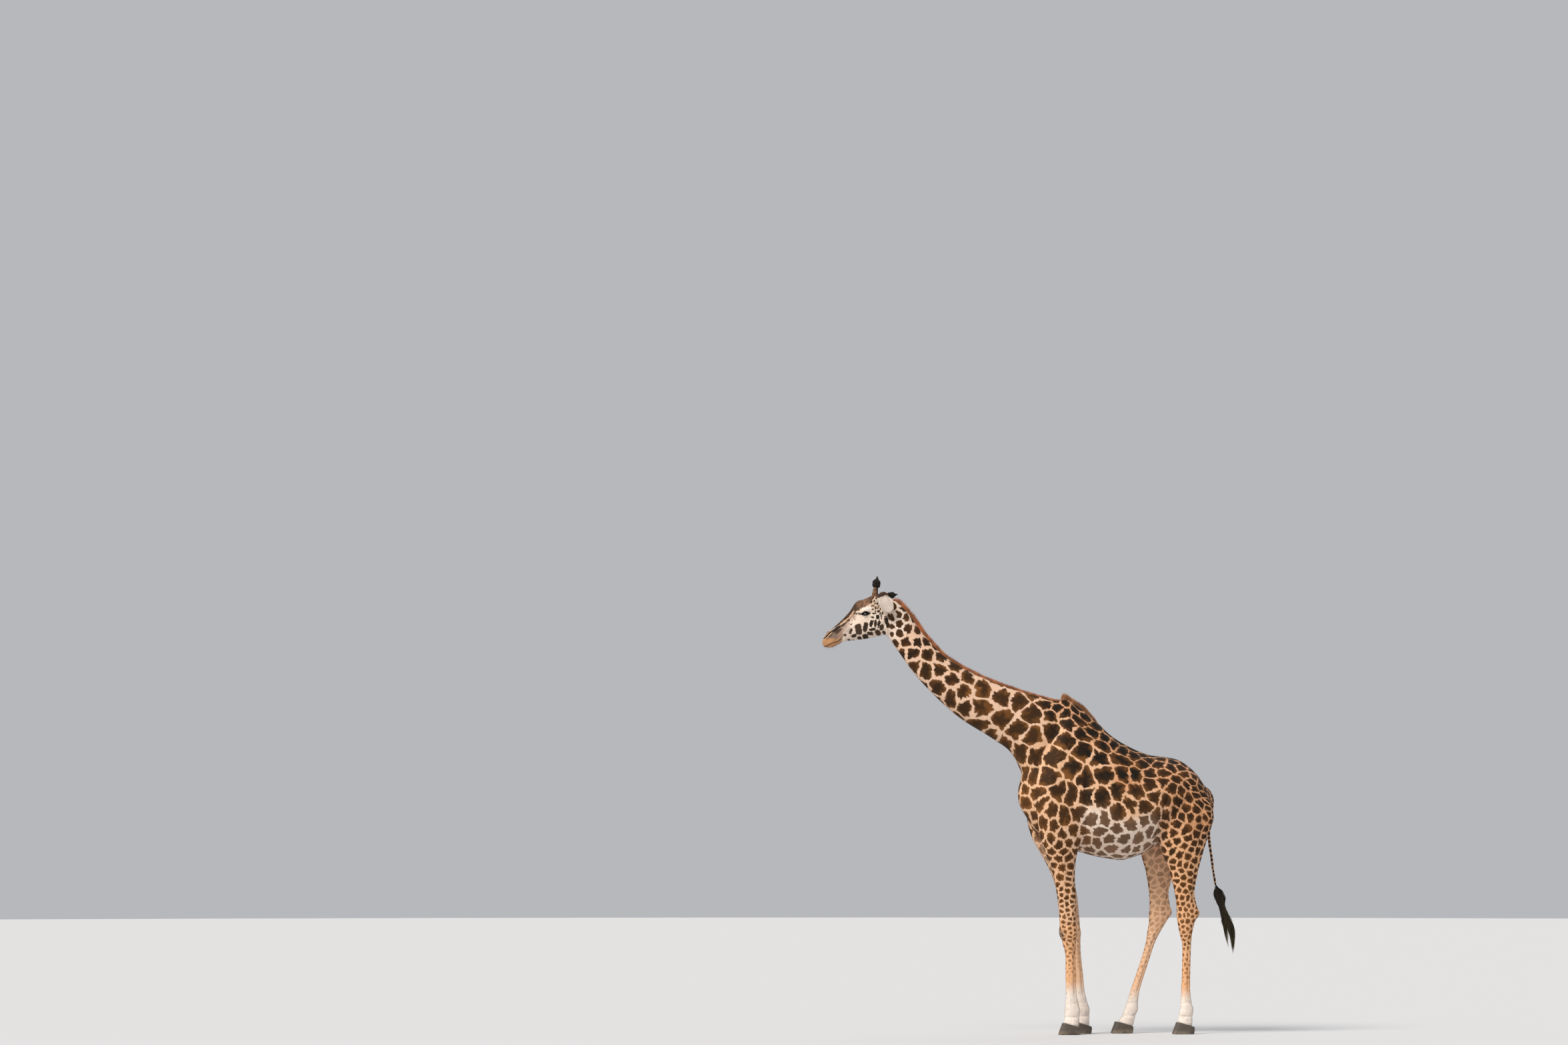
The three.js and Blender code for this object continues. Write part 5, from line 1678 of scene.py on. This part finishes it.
# %% Lashes
lash_lines = []
for side in SIDES.values():
    out, back, up = eye_axes(side)
    count, rings = int(90 * HAIR_SHARE) + 20, 6
    along = dice.uniform(-0.92, 0.95, count) * ALMOND_LENGTH
    top, bottom = almond_height(along)
    upper = dice.uniform(0, 1, count) < 0.78
    height = np.where(upper, top + 1.5 * MM, bottom - 1 * MM)
    flat = (LID_BACK + along)[:, None] * back + height[:, None] * up
    rise = np.sqrt(np.maximum((EYE_RADIUS + LID) ** 2 - (flat**2).sum(1), 1e-6))
    start = mirrored(EYE, side) + flat + rise[:, None] * out
    length = np.where(upper, dice.uniform(22, 34, count), dice.uniform(7, 11, count)) * MM
    t = np.linspace(0, 1, rings)[None, :, None]
    fan = (along / ALMOND_LENGTH)[:, None, None] * back * 0.45
    drop = np.where(upper, -0.55, -0.9)[:, None, None] * up
    curve = np.where(upper, 0.30, 0.1)[:, None, None] * up
    lines = start[:, None] + length[:, None, None] * (t * (0.62 * out + fan + drop) + t**2 * curve)
    lash_lines.append(from_head(lines))
lines = np.concatenate(lash_lines)
radii = lock_radii(0.75, np.linspace(1, 0.5, rings - 1), 0.8, 1.2, len(lines))
tints = shaded((paint(20, 16, 13), paint(34, 27, 21)), len(lines), rings)
spots = dice.uniform(0.02, 0.98, (len(lines), 2))
lock_piece("eyelashes", lines, radii, tints, spots, dark_finish, "dark_hair")

# %% Ear hair
pale_finish = lock_finish("pale_hair", 0.75, 0.4)
ear_lines = []
for side in SIDES.values():
    count, rings = int(1100 * HAIR_SHARE), 5
    along = dice.uniform(0.06, 0.93, count)
    rim = dice.uniform(0, 1, count) < 0.55
    at_rim = dice.choice([-1.0, 1.0], count) * dice.uniform(0.90, 0.99, count)
    sideways = np.where(rim, at_rim, dice.uniform(-0.8, 0.8, count))
    half = np.sqrt(1 - (2 * along - 1) ** 2) * ear_leaf(along) * EAR_WIDTH / 2
    across = sideways * half
    above = ear_bend(across, along) + 3
    t = np.linspace(0, 1, rings)[None, :]
    short_hair, long_hair = dice.uniform(6, 12, count), dice.uniform(14, 26, count)
    length = np.where(rim, short_hair, long_hair * (1 - 0.5 * along))[:, None]
    lean = np.where(rim, 0.35, -0.105) * np.sign(sideways)
    line_x = along[:, None] * EAR_LENGTH + length * t * 0.8
    line_y = across[:, None] + length * (t * lean[:, None])
    line_z = above[:, None] + length * (0.5 * t - 0.25 * t**2)
    lines = np.stack([line_x, line_y, line_z], -1) * MM
    ear_lines.append(from_head(lines @ ear_frame(side) + mirrored(EAR_ROOT, side)))
lines = np.concatenate(ear_lines)
radii = lock_radii(0.8, np.linspace(1, 0.5, rings - 1), 0.7, 1.2, len(lines))
tints = shaded((paint(238, 228, 216), paint(206, 188, 170)), len(lines), rings)
spots = dice.uniform(0.02, 0.98, (len(lines), 2))
lock_piece("ear_hair", lines, radii, tints, spots, pale_finish, "coat")

# %% Whiskers
MOST_WHISKERS = 160
head_x, head_y, head_z = root_head.T
chin = (np.abs(head_y) < 0.045) & (head_x < -0.40) & (head_z < -0.19) & (root_on_face > 0.5)
chosen = dice.permutation(np.flatnonzero(chin))[:MOST_WHISKERS]
start, up = roots[chosen][:, None], root_up[chosen][:, None]
t = np.linspace(0, 1, rings)[None, :, None]
length = dice.uniform(7, 17, len(chosen))[:, None, None] * MM
lines = start + length * (t * (up + [0, 0, -0.4]) + t**2 * [0.1, 0, -0.35])
radii = np.tile(0.5 * MM * np.linspace(1, 0.5, rings - 1), (len(chosen), 1))
tints = shaded((paint(200, 160, 120), paint(120, 90, 64)), len(chosen), rings)
lock_piece("whiskers", lines, radii, tints, root_spot[chosen], pale_finish, "coat")

# %% [markdown]
# ## Eyes
# A giraffe's eye shows hardly any white: a dark brown iris fills the opening, with a wide level
# pupil. The ball carries its own measurements, along and across the lids, and the finish draws the pupil,
# the iris and its rays from them. A hard clear coat over it gives the wet gleam.

# %% Eye finish
wet_gleam = {"Roughness": 0.22, "Coat Weight": 1.0, "Coat Roughness": 0.03, "Coat IOR": 1.38}
eye_finish, tree, shader = new_finish("dark_eye", wet_gleam)
along, across, _ = split(tree, stored(tree, "gaze").outputs["Vector"])
wide = calc(tree, "DIVIDE", along, 0.40)
high = calc(tree, "DIVIDE", across, 0.22)
pupil = plus(tree, times(tree, wide, wide), times(tree, high, high))
pupil = step_between(tree, pupil, 0.85, 1.15)
angle = calc(tree, "ARCTAN2", across, along)
rays = add_node(tree, "ShaderNodeCombineXYZ", {0: angle}).outputs[0]
rays = noise(tree, rays, 14, 3)
iris = blend(tree, rays, (*paint(24, 14, 8), 1), (*paint(54, 34, 20), 1))
reach = calc(tree, "SQRT", plus(tree, times(tree, along, along), times(tree, across, across)))
rim = step_between(tree, reach, 0.66, 0.80)
iris = blend(tree, rim, iris, (*paint(30, 20, 14), 1))
iris = blend(tree, step_between(tree, reach, 0.84, 0.98), iris, (*paint(96, 76, 62), 1))
tree.links.new(blend(tree, pupil, (*paint(6, 5, 6), 1), iris), shader.inputs["Base Color"])
print("the eye's finish has", len(tree.nodes), "nodes")

# %% Eyeballs
for name, side in SIDES.items():
    out, back, up = eye_axes(side)
    points, faces = ball(64, 48)
    bulge = 1 - 0.02 * (1 - ramp(points[:, 0], 0.2, 0.9))
    shaped = (points[:, :1] * out + points[:, 1:2] * back + points[:, 2:] * up) * (EYE_RADIUS - 0.3 * MM)
    shaped = from_head(shaped * bulge[:, None] + mirrored(EYE, side)) + SHIFT
    eye_mesh = mesh_from(f"{name}_eyeball", shaped, faces)
    eye_mesh.shade_smooth()
    if np.linalg.det(np.stack([out, back, up])) < 0:
        eye_mesh.flip_normals()
    store(eye_mesh, "gaze", points[:, [1, 2, 0]])
    hang(f"{name}_eyeball", eye_mesh, eye_finish, "eye", f"{name}_eye")
    print(name, "eye is", round(2 * EYE_RADIUS / MM), "mm across")

# %% [markdown]
# ## Hooves
# Each foot stands on two toes. A hoof grows from the hair line down in faint rings and wears at its tip,
# so the finish has rings at equal heights, fine grain running down, and dust near the ground. The shape
# is a loft like the legs, with its top ring laid along the sloping hair line.

# %% Hoof finish
hoof_finish, tree, shader = new_finish("worn_horn", {"Roughness": 0.55})
where = add_node(tree, "ShaderNodeTexCoord").outputs["Object"]
_, _, height = split(tree, where)
warp = noise(tree, where, 14, 3)
rings = calc(tree, "SINE", calc(tree, "MULTIPLY_ADD", warp, 9, times(tree, height, 620)))
grain_at = combine(tree, "MULTIPLY", where, (260.0, 260.0, 22.0))
grain = noise(tree, grain_at, 1, 4, 0.6)
horn_colour = blend(tree, grain, (*paint(44, 38, 33), 1), (*paint(104, 92, 80), 1))
dust = minus(tree, 1, step_between(tree, height, 0.0, 0.05))
dust = times(tree, dust, step_between(tree, warp, 0.35, 0.65))
horn_colour = blend(tree, times(tree, dust, 0.7), horn_colour, (*paint(150, 132, 110), 1))
tree.links.new(horn_colour, shader.inputs["Base Color"])
relief = calc(tree, "MULTIPLY_ADD", rings, 0.25, times(tree, grain, 0.6))
add_bump(tree, shader, relief, 0.5, 0.0015)
print("the hoof's finish has", len(tree.nodes), "nodes")

# %% Cloven hooves
HOOF_LENGTH, FORE_TOE, HIND_TOE = 178, -98, 884
# From the hair line down: behind the toe, height, ahead of the heel, height, half width, lean and boxiness.
HOOF_ROWS = [
    (33, 101, 20, 65, 15, 0, 0.2), (26, 98, 11, 62, 23.5, -0.1, 0.2), (19, 79, 6, 53, 26, -0.15, 0.25),
    (8, 52, 5, 38, 27.5, -0.2, 0.3), (-4, 22, 8, 18, 28, -0.28, 0.3), (-8, 7, 10, 7, 28, -0.32, 0.3),
    (-5, 1.2, 13, 1.2, 26, -0.32, 0.3), (2, 0, 20, 0, 21, -0.3, 0.3),
]
for leg in SWINGS:
    side = side_of(leg)
    front = (FORE_TOE if "fore" in leg else HIND_TOE) + np.interp(0, *SWINGS[leg])
    back = front + HOOF_LENGTH
    for toe, half in (("outer", side), ("inner", -side)):
        y = side * 140 + half * 29
        rows = [
            (front + behind, top, back - ahead, low, wide, y, lean, boxy)
            for behind, top, ahead, low, wide, lean, boxy in HOOF_ROWS
        ]
        points, faces = loft(rows, 0, 40, 40)
        hoof_mesh = mesh_from(f"{leg}_{toe}", points + SHIFT, faces)
        hoof_mesh.shade_smooth()
        hang(f"{leg}_hoof_{toe}_horn", hoof_mesh, hoof_finish, "hoof", f"{leg}_hoof_{toe}")
print("eight hooves stand on the floor")
